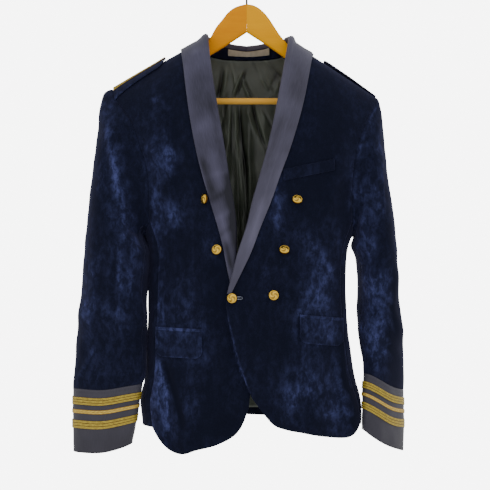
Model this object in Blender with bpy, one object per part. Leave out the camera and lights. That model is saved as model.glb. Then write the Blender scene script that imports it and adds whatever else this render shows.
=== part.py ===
"""Velvet tuxedo jacket with a shawl collar, hanging on a wooden hanger.

Metres, +Z up. The front of the jacket faces -Y, and +X is the wearer's left, which is
the right-hand side for someone who looks at the front. The origin is the inside of the
top of the hanger's hook, where a rail would carry it.

Each piece of cloth is a wall between an outer grid of points and an inner one. The
grids are worked out from the body's sections, from the edges of the cut pieces and
from the sleeves' sections, which stand in the tables below.
"""
import math

import bmesh
import bpy
import numpy as np

# Cloth and seams
WALL = 0.0020            # velvet with its lining
SATIN = 0.0022           # folded satin of the collar
TRIM = 0.0016            # flaps, jets, straps
BRAID = 0.0012           # metal braid
BRAID_GAP = 0.0004       # from the cloth to a braid sewn on it
LINING = 0.0010
SEAM = 0.0003            # gap between two pieces that are sewn together
REST = 0.0006            # gap under what lies on a curved panel

# The body's horizontal sections: height, leftmost and rightmost x, front and back y
BODY_SECTIONS = (
    # z       left    right   front   back
    (-0.870, -0.180, 0.195, -0.072, 0.060),
    (-0.805, -0.182, 0.195, -0.075, 0.063),
    (-0.765, -0.1855, 0.1945, -0.077, 0.066),
    (-0.720, -0.178, 0.188, -0.079, 0.068),
    (-0.640, -0.173, 0.177, -0.081, 0.070),
    (-0.560, -0.170, 0.173, -0.083, 0.071),
    (-0.495, -0.1705, 0.1775, -0.083, 0.074),
    (-0.452, -0.185, 0.193, -0.082, 0.077),
    (-0.360, -0.215, 0.225, -0.079, 0.080),
    (-0.280, -0.245, 0.248, -0.076, 0.080),
    (-0.200, -0.262, 0.262, -0.072, 0.080),
    (-0.100, -0.262, 0.262, -0.070, 0.082),
)
SECTION_POWER = 2.6      # 2 is an ellipse, higher is boxier
LEFT, RIGHT = -1, 1

# The shoulder line falls away from the neck on each side, left and right
NECK_X = 0.083
SHOULDER = {LEFT: {"neck_z": -0.1357, "slope": 0.558, "end_x": 0.2325},
            RIGHT: {"neck_z": -0.1392, "slope": 0.657, "end_x": 0.2260}}
RIDGE_DEPTH = 0.170      # how far below the shoulder line the body reaches full depth
RIDGE_POWER = 2.1

# Side seams, as a share of the half width, and the foot of the armholes
SEAM_SHARE = {LEFT: 0.90, RIGHT: 0.94}
NOTCH_Z = -0.452
ARMPIT_DROP = 0.028

# Front edge from the hem's corner up to the neck: height, x
FRONT_EDGE = {
    LEFT: ((-0.8042, -0.0100), (-0.7880, -0.0026), (-0.7650, 0.0040), (-0.7450, 0.0070),
           (-0.7000, 0.0050), (-0.6500, 0.0000), (-0.6000, -0.0040), (-0.5850, -0.0070),
           (-0.5600, -0.0190), (-0.5000, -0.0208), (-0.4600, -0.0203), (-0.4250, -0.0240),
           (-0.3798, -0.0324), (-0.3116, -0.0433), (-0.2416, -0.0564), (-0.1800, -0.0695),
           (-0.1357, -0.0830)),
    RIGHT: ((-0.7810, 0.0300), (-0.7454, 0.0054), (-0.7232, -0.0026), (-0.6760, -0.0180),
            (-0.6440, -0.0260), (-0.6116, -0.0328), (-0.5930, -0.0350), (-0.5750, -0.0303),
            (-0.5425, -0.0218), (-0.5001, -0.0108), (-0.4532, 0.0049), (-0.4167, 0.0121),
            (-0.3799, 0.0233), (-0.3383, 0.0353), (-0.2419, 0.0571), (-0.1827, 0.0705),
            (-0.1392, 0.0830)),
}
# Front hem from the side seam to the corner: x, height
FRONT_HEM = {
    LEFT: ((-0.1640, -0.8048), (-0.1517, -0.8252), (-0.1329, -0.8442), (-0.1120, -0.8504),
           (-0.0876, -0.8435), (-0.0474, -0.8323), (-0.0182, -0.8145), (-0.0100, -0.8042)),
    RIGHT: ((0.1900, -0.8000), (0.1810, -0.8130), (0.1710, -0.8255), (0.1580, -0.8300),
            (0.1363, -0.8270), (0.0962, -0.8170), (0.0640, -0.8080), (0.0452, -0.7989),
            (0.0300, -0.7810)),
}
BACK_HEM_Z = {"centre": -0.7930, "side": -0.8000}

# Armhole seams above the notches: height, distance from the middle
FRONT_ARMHOLE = {
    LEFT: ((-0.4520, 0.1660), (-0.4335, 0.1685), (-0.4000, 0.1683), (-0.3602, 0.1712),
           (-0.3192, 0.1835), (-0.2818, 0.1970), (-0.2343, 0.2285), (-0.2192, 0.2325)),
    RIGHT: ((-0.4520, 0.1817), (-0.4117, 0.1810), (-0.3684, 0.1827), (-0.3169, 0.1909),
            (-0.2682, 0.2112), (-0.2438, 0.2243), (-0.2334, 0.2260)),
}
BACK_ARMHOLE = {
    LEFT: ((-0.4520, 0.1660), (-0.4200, 0.1740), (-0.3600, 0.1900), (-0.3000, 0.2080),
           (-0.2500, 0.2250), (-0.2192, 0.2325)),
    RIGHT: ((-0.4520, 0.1817), (-0.4200, 0.1850), (-0.3600, 0.1960), (-0.3000, 0.2110),
            (-0.2600, 0.2220), (-0.2334, 0.2260)),
}
# Rows of the body's grids: below the notch, then the fan up to the shoulder seam
HEM_SHARES = (0.0, 0.12, 0.35, 0.65)
SKIRT_TOP = -0.700
BODY_ROWS = (-0.700, -0.660, -0.620, -0.593, -0.570, -0.540, -0.508, -0.478, NOTCH_Z)
CHEST_ROWS = (-0.430, -0.400, -0.365, -0.330)
FAN_SHARES = (0.18, 0.34, 0.49, 0.62, 0.73, 0.82, 0.89, 0.945, 0.980, 1.0)
# The back's fan climbs the centre seam, then runs along the neck's edge: x, height
CENTRE_ROWS = (-0.280, -0.232, -0.188)
NECKLINE = ((0.0, -0.1500), (0.0260, -0.1492), (0.0480, -0.1472), (0.0655, -0.1435),
            (0.0765, -0.1392), (0.0814, -0.1366), (NECK_X, -0.1357))
FRONT_COLUMNS = 10
BACK_COLUMNS = 8
SIDE_COLUMNS = 5

# Large soft folds: foot x and z, head x and z, half width, height (below 0 is a trough)
FRONT_FOLDS = (
    # foot x   foot z   head x   head z  width   height
    (-0.150, -0.850, -0.158, -0.560, 0.012, 0.0045),
    (-0.128, -0.860, -0.142, -0.640, 0.010, -0.0040),
    (-0.104, -0.860, -0.112, -0.700, 0.014, 0.0030),
    (-0.060, -0.840, -0.030, -0.610, 0.016, 0.0035),
    (-0.132, -0.420, -0.178, -0.270, 0.012, 0.0040),
    (-0.112, -0.400, -0.130, -0.230, 0.014, -0.0035),
    (0.060, -0.800, 0.005, -0.610, 0.016, 0.0035),
    (0.110, -0.830, 0.120, -0.680, 0.016, 0.0040),
    (0.145, -0.830, 0.150, -0.600, 0.014, -0.0035),
    (0.175, -0.820, 0.165, -0.640, 0.012, 0.0045),
    (0.140, -0.440, 0.172, -0.300, 0.012, 0.0035),
)
BACK_FOLDS = (
    (-0.120, -0.800, -0.100, -0.560, 0.018, 0.0050),
    (-0.070, -0.800, -0.080, -0.600, 0.016, -0.0040),
    (0.075, -0.800, 0.080, -0.580, 0.018, 0.0045),
    (0.125, -0.800, 0.105, -0.540, 0.016, -0.0040),
    (-0.130, -0.450, -0.185, -0.290, 0.016, 0.0045),
    (0.130, -0.450, 0.180, -0.300, 0.016, 0.0045),
)
LINING_FOLDS = (
    (-0.045, -0.500, -0.030, -0.190, 0.007, 0.0050),
    (-0.018, -0.620, -0.012, -0.175, 0.006, -0.0035),
    (0.008, -0.700, 0.006, -0.170, 0.007, 0.0060),
    (0.030, -0.480, 0.034, -0.185, 0.006, 0.0045),
    (0.055, -0.420, 0.050, -0.200, 0.007, -0.0035),
)
# The right front's lower corner flares out past the sleeve's cuff
FLARE = {"size": 0.014, "foot": -0.795, "head": -0.700, "angle": -0.60, "spread": 0.34}

# The fronts lap at the waist: the right one lies over the left one
LAP = {LEFT: {"push": 0.0052, "full_x": -0.040, "none_x": -0.085},
       RIGHT: {"push": -0.0042, "full_x": 0.005, "none_x": 0.075}}
LAP_FULL_Z, LAP_NONE_Z = -0.470, -0.400

# Collar, from the end of its lapel to the middle of the neck. The fall lies on the panel
# from the panel's edge to the outer point, and a stand rises from the edge to the roll.
LAPEL = {
    # edge z  outer x  outer z   rise: in, back, up
    LEFT: (
        (-0.5560, -0.0278, -0.5560, 0.0, 0.0, 0.0),
        (-0.5300, -0.0335, -0.5300, 0.0, 0.0, 0.0),
        (-0.4950, -0.0402, -0.4950, 0.0, 0.0, 0.0),
        (-0.4600, -0.0493, -0.4600, 0.0, 0.0, 0.0),
        (-0.4200, -0.0612, -0.4200, 0.0, 0.0, 0.0),
        (-0.3750, -0.0744, -0.3750, 0.0, 0.0, 0.0),
        (-0.3300, -0.0860, -0.3300, 0.0, 0.0, 0.0),
        (-0.2911, -0.0940, -0.2890, 0.0, 0.0, 0.0),
        (-0.2562, -0.0998, -0.2520, 0.0005, 0.0, 0.0),
        (-0.2231, -0.1045, -0.2170, 0.0012, -0.0003, 0.0005),
        (-0.1940, -0.1080, -0.1880, 0.0025, -0.0008, 0.0015),
        (-0.1707, -0.1108, -0.1690, 0.0050, -0.0010, 0.0035),
        (-0.1571, -0.1122, -0.1610, 0.0072, -0.0008, 0.0058),
        (-0.1464, -0.1130, -0.1562, 0.0090, -0.0006, 0.0080),
        (-0.1396, -0.1133, -0.1538, 0.0100, -0.0003, 0.0096),
    ),
    RIGHT: (
        (-0.5740, -0.0268, -0.5740, 0.0, 0.0, 0.0),
        (-0.5425, -0.0115, -0.5425, 0.0, 0.0, 0.0),
        (-0.5071, 0.0054, -0.5071, 0.0, 0.0, 0.0),
        (-0.4590, 0.0238, -0.4590, 0.0, 0.0, 0.0),
        (-0.4152, 0.0417, -0.4152, 0.0, 0.0, 0.0),
        (-0.3700, 0.0575, -0.3700, 0.0, 0.0, 0.0),
        (-0.3300, 0.0725, -0.3300, 0.0, 0.0, 0.0),
        (-0.2918, 0.0850, -0.2900, 0.0, 0.0, 0.0),
        (-0.2575, 0.0945, -0.2550, 0.0003, 0.0, 0.0),
        (-0.2251, 0.1020, -0.2210, 0.0008, -0.0003, 0.0005),
        (-0.1965, 0.1075, -0.1920, 0.0015, -0.0008, 0.0015),
        (-0.1735, 0.1110, -0.1735, 0.0028, -0.0010, 0.0035),
        (-0.1602, 0.1128, -0.1668, 0.0034, -0.0008, 0.0058),
        (-0.1497, 0.1140, -0.1628, 0.0040, -0.0006, 0.0080),
        (-0.1430, 0.1145, -0.1606, 0.0044, -0.0003, 0.0095),
    ),
}
COLLAR_SHOULDER = {LEFT: (0.1132, 0.0105, 0.0105), RIGHT: (0.1146, 0.0045, 0.0100)}
COLLAR_BACK = (
    # edge x  outer x  outer z   rise: in, back, up
    (0.0814, 0.1115, -0.1560, 0.0090, -0.0006, 0.0104),
    (0.0765, 0.1040, -0.1610, 0.0080, -0.0010, 0.0110),
    (0.0655, 0.0880, -0.1670, 0.0060, -0.0030, 0.0125),
    (0.0480, 0.0625, -0.1725, 0.0035, -0.0045, 0.0135),
    (0.0260, 0.0330, -0.1765, 0.0015, -0.0050, 0.0110),
    (0.0002, 0.0002, -0.1778, 0.0000, -0.0050, 0.0092),
)
TURN_IN = 0.007          # the collar's inner ply past the panel's edge
FALL_POINTS = 6
FALL_BULGE = 0.0016
COLLAR_SLACK = (0.0012, 3.4)    # how far it stands off at the shoulder, spread in stations

# Sleeve sections from the armhole to the wrist: outer x and z, inner x and z, the depth
# at each edge, half thickness, and how much of it is the armhole carried outwards
SLEEVE = {
    # outer x  outer z   inner x  inner z  outer y  inner y  half    carry
    LEFT: (
        (-0.2465, -0.2310, -0.1830, -0.4815, 0.002, 0.002, 0.060, 0.85),
        (-0.2555, -0.2630, -0.1822, -0.4850, 0.002, -0.004, 0.064, 0.50),
        (-0.2600, -0.3070, -0.1800, -0.4890, 0.002, -0.010, 0.064, 0.20),
        (-0.2700, -0.3780, -0.1765, -0.4960, 0.000, -0.018, 0.063, 0.0),
        (-0.2770, -0.4464, -0.1724, -0.5090, -0.002, -0.028, 0.061, 0.0),
        (-0.2823, -0.5012, -0.1717, -0.5300, -0.004, -0.034, 0.058, 0.0),
        (-0.2865, -0.5607, -0.1750, -0.5720, -0.006, -0.030, 0.054, 0.0),
        (-0.2918, -0.6120, -0.1732, -0.6120, -0.008, -0.034, 0.049, 0.0),
        (-0.2955, -0.6500, -0.1726, -0.6470, -0.010, -0.037, 0.043, 0.0),
        (-0.2987, -0.6972, -0.1752, -0.6900, -0.012, -0.041, 0.034, 0.0),
        (-0.3021, -0.7385, -0.1795, -0.7300, -0.014, -0.045, 0.026, 0.0),
    ),
    RIGHT: (
        (0.2290, -0.2440, 0.1875, -0.4815, 0.002, 0.002, 0.059, 0.85),
        (0.2350, -0.2720, 0.1870, -0.4850, 0.002, 0.002, 0.063, 0.50),
        (0.2390, -0.3070, 0.1860, -0.4890, 0.002, 0.002, 0.064, 0.20),
        (0.2460, -0.3680, 0.1860, -0.4960, 0.004, 0.000, 0.064, 0.0),
        (0.2544, -0.4274, 0.1892, -0.5080, 0.006, -0.002, 0.062, 0.0),
        (0.2613, -0.4872, 0.1930, -0.5270, 0.010, -0.004, 0.060, 0.0),
        (0.2640, -0.5607, 0.1949, -0.5680, 0.016, -0.010, 0.055, 0.0),
        (0.2709, -0.6209, 0.1935, -0.6150, 0.024, -0.018, 0.048, 0.0),
        (0.2749, -0.6650, 0.1960, -0.6550, 0.032, -0.026, 0.040, 0.0),
        (0.2770, -0.7050, 0.2015, -0.6880, 0.040, -0.034, 0.031, 0.0),
        (0.2776, -0.7400, 0.2020, -0.7120, 0.046, -0.042, 0.024, 0.0),
    ),
}
# Cuff sections from the seam to the opening, with the same columns but the last
CUFF = {
    LEFT: (
        (-0.3021, -0.7389, -0.1795, -0.7304, -0.014, -0.045, 0.026),
        (-0.3023, -0.7740, -0.1850, -0.7640, -0.015, -0.046, 0.025),
        (-0.3022, -0.8110, -0.1905, -0.7990, -0.016, -0.048, 0.024),
        (-0.3012, -0.8465, -0.1965, -0.8315, -0.017, -0.050, 0.023),
    ),
    RIGHT: (
        (0.2776, -0.7405, 0.2020, -0.7125, 0.046, -0.042, 0.024),
        (0.2786, -0.7745, 0.2000, -0.7450, 0.048, -0.043, 0.023),
        (0.2791, -0.8100, 0.1995, -0.7780, 0.050, -0.044, 0.022),
        (0.2778, -0.8500, 0.1990, -0.8110, 0.050, -0.044, 0.021),
    ),
}
CUFF_COLUMNS = 32
CUFF_LENGTH = 0.110
CUFF_DROOP = {LEFT: 0.0040, RIGHT: 0.0080}     # how far the front of its opening hangs lower
# The front of each sleeve's end and of its cuff sags in a bend: middle x, spread, depth,
# and the share of the depth that is left at the opening
SAG = {LEFT: (-0.248, 0.040, 0.0058, 1.0), RIGHT: (0.256, 0.036, 0.0125, 0.3)}
SAG_FROM, SAG_TO = -0.640, -0.735
SAG_LOW, SAG_HEM = -0.800, -0.850
SLEEVE_POWER = 2.3
CAP_REACH = (0.004, 0.010, 0.020)
# Sleeve creases: height, height of the ridge at the front and at the back, half width
SLEEVE_CREASES = {
    LEFT: ((-0.560, -0.0030, 0.0020, 0.022), (-0.610, 0.0035, -0.0030, 0.018),
           (-0.655, -0.0030, 0.0030, 0.020)),
    RIGHT: ((-0.545, 0.0030, -0.0030, 0.020), (-0.600, -0.0040, 0.0030, 0.018),
            (-0.640, 0.0035, -0.0030, 0.016), (-0.675, -0.0030, 0.0025, 0.014)),
}
# The top sleeve takes these columns each side of the shoulder, the under sleeve the rest
TOP_SLEEVE_FRONT = 15
TOP_SLEEVE_BACK = 10

# Braid rows on each cuff: share of the cuff's length from its seam, width
BRAIDS = {"upper": (0.195, 0.0140), "middle": (0.365, 0.0070), "lower": (0.560, 0.0140)}

# Pockets: corners as x and z on the front, and how each is cut
WELT = {"side": RIGHT, "inner": (0.0625, -0.3622), "outer": (0.1500, -0.3440), "depth": 0.0190}
FLAPS = {
    LEFT: {"inner": (-0.0766, -0.6400), "outer": (-0.1555, -0.6370), "depth": 0.0450},
    RIGHT: {"inner": (0.0905, -0.6150), "outer": (0.1655, -0.6225), "depth": 0.0430},
}
JET_DEPTH = 0.005
FLAP_CORNER = 0.013

# Buttons: x, z, tilt to the side and down in degrees, and the front that each lies on
BUTTON_RADIUS = 0.0092
BUTTON_DOME = 0.0050
BUTTON_SHANK = 0.0042
BUTTON_SHANK_RADIUS = 0.0016
BUTTON_REST = 0.0002
BUTTON_DIP = 0.0009      # how far a tilted rim may sink into the pile
BUTTON_SIDES = 10
BUTTONS = {
    "button_upper_left": (-0.0706, -0.4128, -58.0, 4.0, LEFT),
    "button_upper_right": (0.0853, -0.4146, 8.0, 40.0, RIGHT),
    "button_middle_left": (-0.0506, -0.4992, -24.0, 14.0, LEFT),
    "button_middle_right": (0.0630, -0.5000, 6.0, 42.0, RIGHT),
    "button_front": (-0.0242, -0.5812, -20.0, 0.0, RIGHT),
    "button_lower_right": (0.0450, -0.5764, 2.0, 4.0, RIGHT),
}
BUTTONHOLE = {"length": 0.0205, "width": 0.0046, "z": -0.5812, "start_x": -0.0272}

# Shoulder straps: inner and outer x, front and back edge y, braid's width
STRAPS = {LEFT: {"inner": 0.1400, "outer": 0.2316, "front": -0.0240, "back": 0.0170,
                 "bow": 0.0014},
          RIGHT: {"inner": 0.1330, "outer": 0.2245, "front": -0.0060, "back": 0.0340,
                  "bow": 0.0026}}
STRAP_GAP = 0.0011       # from the shoulder's cloth to the strap
STRAP_BRAID = 0.0120
STRAP_BRAID_SHIFT = 0.0035     # how far its middle lies in front of the strap's middle
STRAP_POINTS = 7
STRAP_LIFT = 0.0022
STRAP_ROUND = 5.0        # how fast the outer end follows the round of the armhole

# Lining and label
LINING_BOTTOM = -0.780
LINING_DROP = 0.0120     # its top edge below the neck's edge
LINING_SLACK = 0.0050
LINING_COLUMNS = 20
LINING_ROWS = (0.0, 0.10, 0.22, 0.34, 0.46, 0.58, 0.69, 0.79, 0.88, 0.95, 1.0)
LINING_WIDTHS = ((0.0, 0.135), (0.5, 0.135), (0.75, 0.145), (0.88, 0.120), (1.0, 0.064))
LABEL = {"left": -0.0330, "right": 0.0400, "rows": (0.05, 0.80), "thick": 0.0006}

# Hanger: distance from the middle, top and bottom height, half thickness
HANGER_HALF_THICK = 0.0075
HANGER_SECTIONS = {
    LEFT: ((0.00015, -0.0697, -0.1192), (0.0120, -0.0723, -0.1271), (0.0226, -0.0765, -0.1340),
           (0.0336, -0.0852, -0.1411), (0.0430, -0.0970, -0.1472), (0.0540, -0.1108, -0.1540),
           (0.0665, -0.1325, -0.1615), (0.0850, -0.1475, -0.1735), (0.1000, -0.1510, -0.1830),
           (0.1150, -0.1565, -0.1915), (0.1700, -0.1872, -0.2270), (0.1850, -0.1956, -0.2460),
           (0.1980, -0.2029, -0.2540), (0.2080, -0.2095, -0.2530), (0.2150, -0.2170, -0.2470),
           (0.2180, -0.2260, -0.2400)),
    RIGHT: ((0.00015, -0.0697, -0.1192), (0.0120, -0.0718, -0.1269), (0.0226, -0.0777, -0.1337),
            (0.0336, -0.0880, -0.1409), (0.0430, -0.1008, -0.1475), (0.0540, -0.1180, -0.1552),
            (0.0665, -0.1345, -0.1640), (0.0850, -0.1520, -0.1775), (0.1000, -0.1568, -0.1870),
            (0.1150, -0.1634, -0.1960), (0.1700, -0.1996, -0.2340), (0.1820, -0.2075, -0.2480),
            (0.1920, -0.2141, -0.2560), (0.2010, -0.2205, -0.2560), (0.2075, -0.2280, -0.2510),
            (0.2105, -0.2360, -0.2450)),
}
HANGER_SIDES = 12
BAR_Z = -0.2396
BAR_RADIUS = 0.0056
BAR_END = 0.1960
HOOK_WIRE = 0.0018
HOOK_INNER = 0.0170
HOOK_FOOT_Z = -0.0940
HOOK_NECK_Z = -0.0560

# Colours as linear values: base colour, roughness, metallic
FINISHES = {
    "velvet": ((0.006, 0.010, 0.040), 0.85, 0.0),
    "satin": ((0.070, 0.072, 0.100), 0.42, 0.0),
    "lining": ((0.045, 0.050, 0.040), 0.35, 0.0),
    "label": ((0.170, 0.150, 0.130), 0.60, 0.0),
    "gold_braid": ((0.620, 0.430, 0.080), 0.45, 0.6),
    "gold_button": ((0.850, 0.560, 0.160), 0.25, 1.0),
    "wood": ((0.620, 0.300, 0.030), 0.30, 0.0),
    "bar_wood": ((0.780, 0.400, 0.120), 0.35, 0.0),
    "steel": ((0.060, 0.055, 0.050), 0.35, 1.0),
}


def smooth(table, at):
    """Cubic curve through a two-column table, first column rising or falling."""
    table = sorted(table)
    xs = np.array([row[0] for row in table])
    ys = np.array([row[1] for row in table])
    steps = np.diff(ys) / np.diff(xs)
    slopes = np.concatenate([steps[:1], (steps[:-1] + steps[1:]) / 2, steps[-1:]])
    turns = np.concatenate([[False], steps[:-1] * steps[1:] <= 0, [False]])
    slopes[turns] = 0.0
    at = np.clip(np.asarray(at, float), xs[0], xs[-1])
    i = np.clip(np.searchsorted(xs, at, side="right") - 1, 0, len(xs) - 2)
    gap = xs[i + 1] - xs[i]
    t = (at - xs[i]) / gap
    return ((2 * t**3 - 3 * t**2 + 1) * ys[i] + (t**3 - 2 * t**2 + t) * gap * slopes[i]
            + (3 * t**2 - 2 * t**3) * ys[i + 1] + (t**3 - t**2) * gap * slopes[i + 1])


def ease(start, end, value):
    """0 at start and 1 at end, with a soft step between."""
    t = np.clip((np.asarray(value, float) - start) / (end - start), 0.0, 1.0)
    return t * t * (3 - 2 * t)


def unit(vectors):
    """Vectors scaled to length 1."""
    return vectors / np.maximum(np.linalg.norm(vectors, axis=-1, keepdims=True), 1e-12)


def section(z):
    """Middle x, half width, front and back depth of the body at height z."""
    left, right, front, back = (
        smooth([(row[0], row[column]) for row in BODY_SECTIONS], z) for column in (1, 2, 3, 4))
    return (left + right) / 2, (right - left) / 2, front, back


def shoulder_z(x):
    """Height of the shoulder line over x, carried over the neck in a soft arch."""
    reach = np.where(np.abs(x) > NECK_X, np.abs(x), (x * x / NECK_X + NECK_X) / 2)
    lines = [SHOULDER[side]["neck_z"] - SHOULDER[side]["slope"] * (reach - NECK_X)
             for side in (LEFT, RIGHT)]
    share = ease(-0.05, 0.05, x)
    return lines[0] * (1 - share) + lines[1] * share


def fold_height(folds, x, z):
    """Sum of soft ridges and troughs, each along a line from its foot to its head."""
    total = np.zeros(np.broadcast(x, z).shape)
    for foot_x, foot_z, head_x, head_z, width, height in folds:
        t = np.clip((z - foot_z) / (head_z - foot_z), 0, 1)
        middle = foot_x + (head_x - foot_x) * t
        fade = ease(1.0, 0.65, t) * ease(-0.02, 0.10, t + 0.02)
        total = total + height * fade * np.exp(-((x - middle) / width) ** 2)
    return total


def flare(side, angle, z):
    """How far the skirt's front corner stands out to the side."""
    amount = FLARE["size"] * ease(FLARE["head"], FLARE["foot"], z)
    return (side == RIGHT) * amount * np.exp(-((angle - FLARE["angle"]) / FLARE["spread"]) ** 2)


def front_point(side):
    """The front's outer surface as a function of x and height."""
    lap = LAP[side]

    def point(x, z):
        middle, half, depth, _ = section(z)
        share = np.clip((x - middle) / half, -0.999, 0.999)
        curve = (1 - np.abs(share) ** SECTION_POWER) ** (1 / SECTION_POWER)
        drop = np.clip((shoulder_z(x) - z) / RIDGE_DEPTH, 0, 1)
        ridge = (1 - (1 - drop) ** RIDGE_POWER) ** (1 / RIDGE_POWER)
        fade = np.clip((1 - np.abs(share)) / 0.04, 0, 1) * ease(0, 0.2, drop)
        y = depth * curve * ridge - fold_height(FRONT_FOLDS, x, z) * fade
        y = y + lap["push"] * ease(lap["none_x"], lap["full_x"], x) * ease(
            LAP_NONE_Z, LAP_FULL_Z, z)
        shift = flare(side, np.arctan2(-curve, np.abs(share)), z) * (share > 0.4)
        return np.stack([x + shift, y, z + 0 * x], axis=-1)
    return point


def back_point(x, z):
    """The back's outer surface as a function of x and height."""
    middle, half, _, depth = section(z)
    share = np.clip((x - middle) / half, -0.999, 0.999)
    curve = (1 - np.abs(share) ** SECTION_POWER) ** (1 / SECTION_POWER)
    drop = np.clip((shoulder_z(x) - z) / RIDGE_DEPTH, 0, 1)
    ridge = (1 - (1 - drop) ** RIDGE_POWER) ** (1 / RIDGE_POWER)
    fade = np.clip((1 - np.abs(share)) / 0.04, 0, 1) * ease(0, 0.2, drop)
    y = depth * curve * ridge + fold_height(BACK_FOLDS, x, z) * fade
    return np.stack([x + 0 * z, y, z + 0 * x], axis=-1)


def side_point(side):
    """The body under the arm as a function of the angle round it and height."""
    def point(angle, z):
        middle, half, front, back = section(z)
        power = SECTION_POWER
        reach = (np.abs(np.cos(angle)) ** power + np.abs(np.sin(angle)) ** power) ** (-1 / power)
        share = reach * np.cos(angle)
        x = middle + side * half * share
        fade = np.clip((1 - share) / 0.04, 0, 1)
        is_front = np.sin(angle) < 0
        depth = np.where(is_front, -front, back)
        folds = np.where(is_front, -fold_height(FRONT_FOLDS, x, z),
                         fold_height(BACK_FOLDS, x, z)) * fade
        y = depth * reach * np.sin(angle) + folds
        return np.stack([x + flare(side, angle, z), y, z + 0 * x], axis=-1)
    return point


def neckline(side):
    """The back neck's edge as x and height, lowered towards the lower shoulder."""
    fall = SHOULDER[side]["neck_z"] - SHOULDER[LEFT]["neck_z"]
    return [(x, z + fall * float(ease(0.045, NECK_X, x))) for x, z in NECKLINE]


def normals(point, first, second, outward):
    """Unit normals of a surface, turned to the side that outward gives."""
    step = 2e-4
    along = point(first + step, second) - point(first - step, second)
    up = point(first, second + step) - point(first, second - step)
    normal = unit(np.cross(along, up))
    return normal * np.sign((normal * outward).sum(-1, keepdims=True))


def ridge_normal(side):
    """Normal of the cloth on the shoulder line."""
    return unit(np.array([side * SHOULDER[side]["slope"], 0.0, 1.0]))


def seam_x(side, z):
    """x of a side seam at height z."""
    middle, half, _, _ = section(z)
    return middle + side * SEAM_SHARE[side] * half


def finish(name):
    """One Principled material for each finish."""
    material = bpy.data.materials.get(name)
    if material is None:
        colour, roughness, metallic = FINISHES[name]
        material = bpy.data.materials.new(name)
        material.use_nodes = True
        material.diffuse_color = (*colour, 1.0)
        shader = material.node_tree.nodes["Principled BSDF"]
        shader.inputs["Base Color"].default_value = (*colour, 1.0)
        shader.inputs["Roughness"].default_value = roughness
        shader.inputs["Metallic"].default_value = metallic
    return material


def add_object(name, mesh, material, collection):
    """Put a mesh in the collection with its finish."""
    thing = bpy.data.objects.new(name, mesh)
    mesh.materials.clear()
    mesh.materials.append(finish(material))
    collection.objects.link(thing)
    return thing


def add_wall(name, outer, inner, material, collection, ring=False):
    """Closed wall between two grids of points; a ring's last column meets its first."""
    rows, columns = outer.shape[:2]
    count = rows * columns
    index = np.arange(count).reshape(rows, columns)
    if ring:
        index = np.concatenate([index, index[:, :1]], axis=1)
    quads = np.stack([index[:-1, :-1], index[:-1, 1:], index[1:, 1:], index[1:, :-1]], -1)
    faces = [quads.reshape(-1, 4), (quads + count)[..., ::-1].reshape(-1, 4)]
    edges = [index[0, ::-1], index[-1]]
    if not ring:
        edges += [index[:, 0], index[::-1, -1]]
    for edge in edges:
        faces.append(np.stack([edge[:-1], edge[1:], edge[1:] + count, edge[:-1] + count], -1))
    points = np.concatenate([outer.reshape(-1, 3), inner.reshape(-1, 3)])
    mesh = bpy.data.meshes.new(name)
    mesh.from_pydata(points.tolist(), [], np.concatenate(faces).tolist())
    shape = bmesh.new()
    shape.from_mesh(mesh)
    bmesh.ops.triangulate(shape, faces=shape.faces, quad_method="SHORT_EDGE")
    if shape.calc_volume(signed=True) < 0:
        bmesh.ops.reverse_faces(shape, faces=shape.faces)
    shape.to_mesh(mesh)
    shape.free()
    mesh.shade_smooth()
    mesh.set_sharp_from_angle(angle=math.radians(40))
    return add_object(name, mesh, material, collection)


def draw_in(grid, sides, gap=SEAM / 2):
    """Move the grid's named edges inwards along the cloth, for the gap at a seam."""
    grid = grid.copy()
    if "first_column" in sides:
        grid[:, 0] += gap * unit(grid[:, 1] - grid[:, 0])
    if "last_column" in sides:
        grid[:, -1] += gap * unit(grid[:, -2] - grid[:, -1])
    if "first_row" in sides:
        grid[0] += gap * unit(grid[1] - grid[0])
    if "last_row" in sides:
        grid[-1] += gap * unit(grid[-2] - grid[-1])
    return grid


def panel_rows(side, centre, edge, hem, top_centre):
    """x and z of a panel's grid: centre and edge give x by height, hem gives z by x."""
    corner_z, side_z = hem
    shoulder_end = SHOULDER[side]["neck_z"] - SHOULDER[side]["slope"] * (
        SHOULDER[side]["end_x"] - NECK_X)
    starts = [corner_z + (SKIRT_TOP - corner_z) * share for share in HEM_SHARES]
    ends = [side_z + (SKIRT_TOP - side_z) * share for share in HEM_SHARES]
    starts += [*BODY_ROWS, *CHEST_ROWS]
    ends += [*BODY_ROWS, *CHEST_ROWS]
    fan_foot = CHEST_ROWS[-1]
    ends += [fan_foot + (shoulder_end - fan_foot) * share for share in FAN_SHARES]
    starts = np.array(starts + [row[0] for row in top_centre])
    ends = np.array(ends)
    known = len(starts) - len(top_centre)
    start_x = np.concatenate([centre(starts[:known]), [row[1] for row in top_centre]])
    end_x = edge(ends)
    return start_x, starts, end_x, ends


def ruled(start_x, start_z, end_x, end_z, share, hem_curve):
    """Straight rows between two edges, with the lowest ones bent to the hem's curve."""
    x = start_x[:, None] + (end_x - start_x)[:, None] * share
    z = start_z[:, None] + (end_z - start_z)[:, None] * share
    bend = hem_curve(x[0]) - z[0]
    bend = bend - bend[0] * (1 - share) - bend[-1] * share
    weights = np.zeros(len(start_x))
    weights[:len(HEM_SHARES)] = (1 - np.array(HEM_SHARES)) ** 2
    return x, z + weights[:, None] * bend


def edge_by_height(side, armhole):
    """x of a panel's outer edge: the side seam, then the armhole."""
    def at(z):
        return np.where(z <= NOTCH_Z, seam_x(side, z), side * smooth(armhole, z))
    return at


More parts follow.
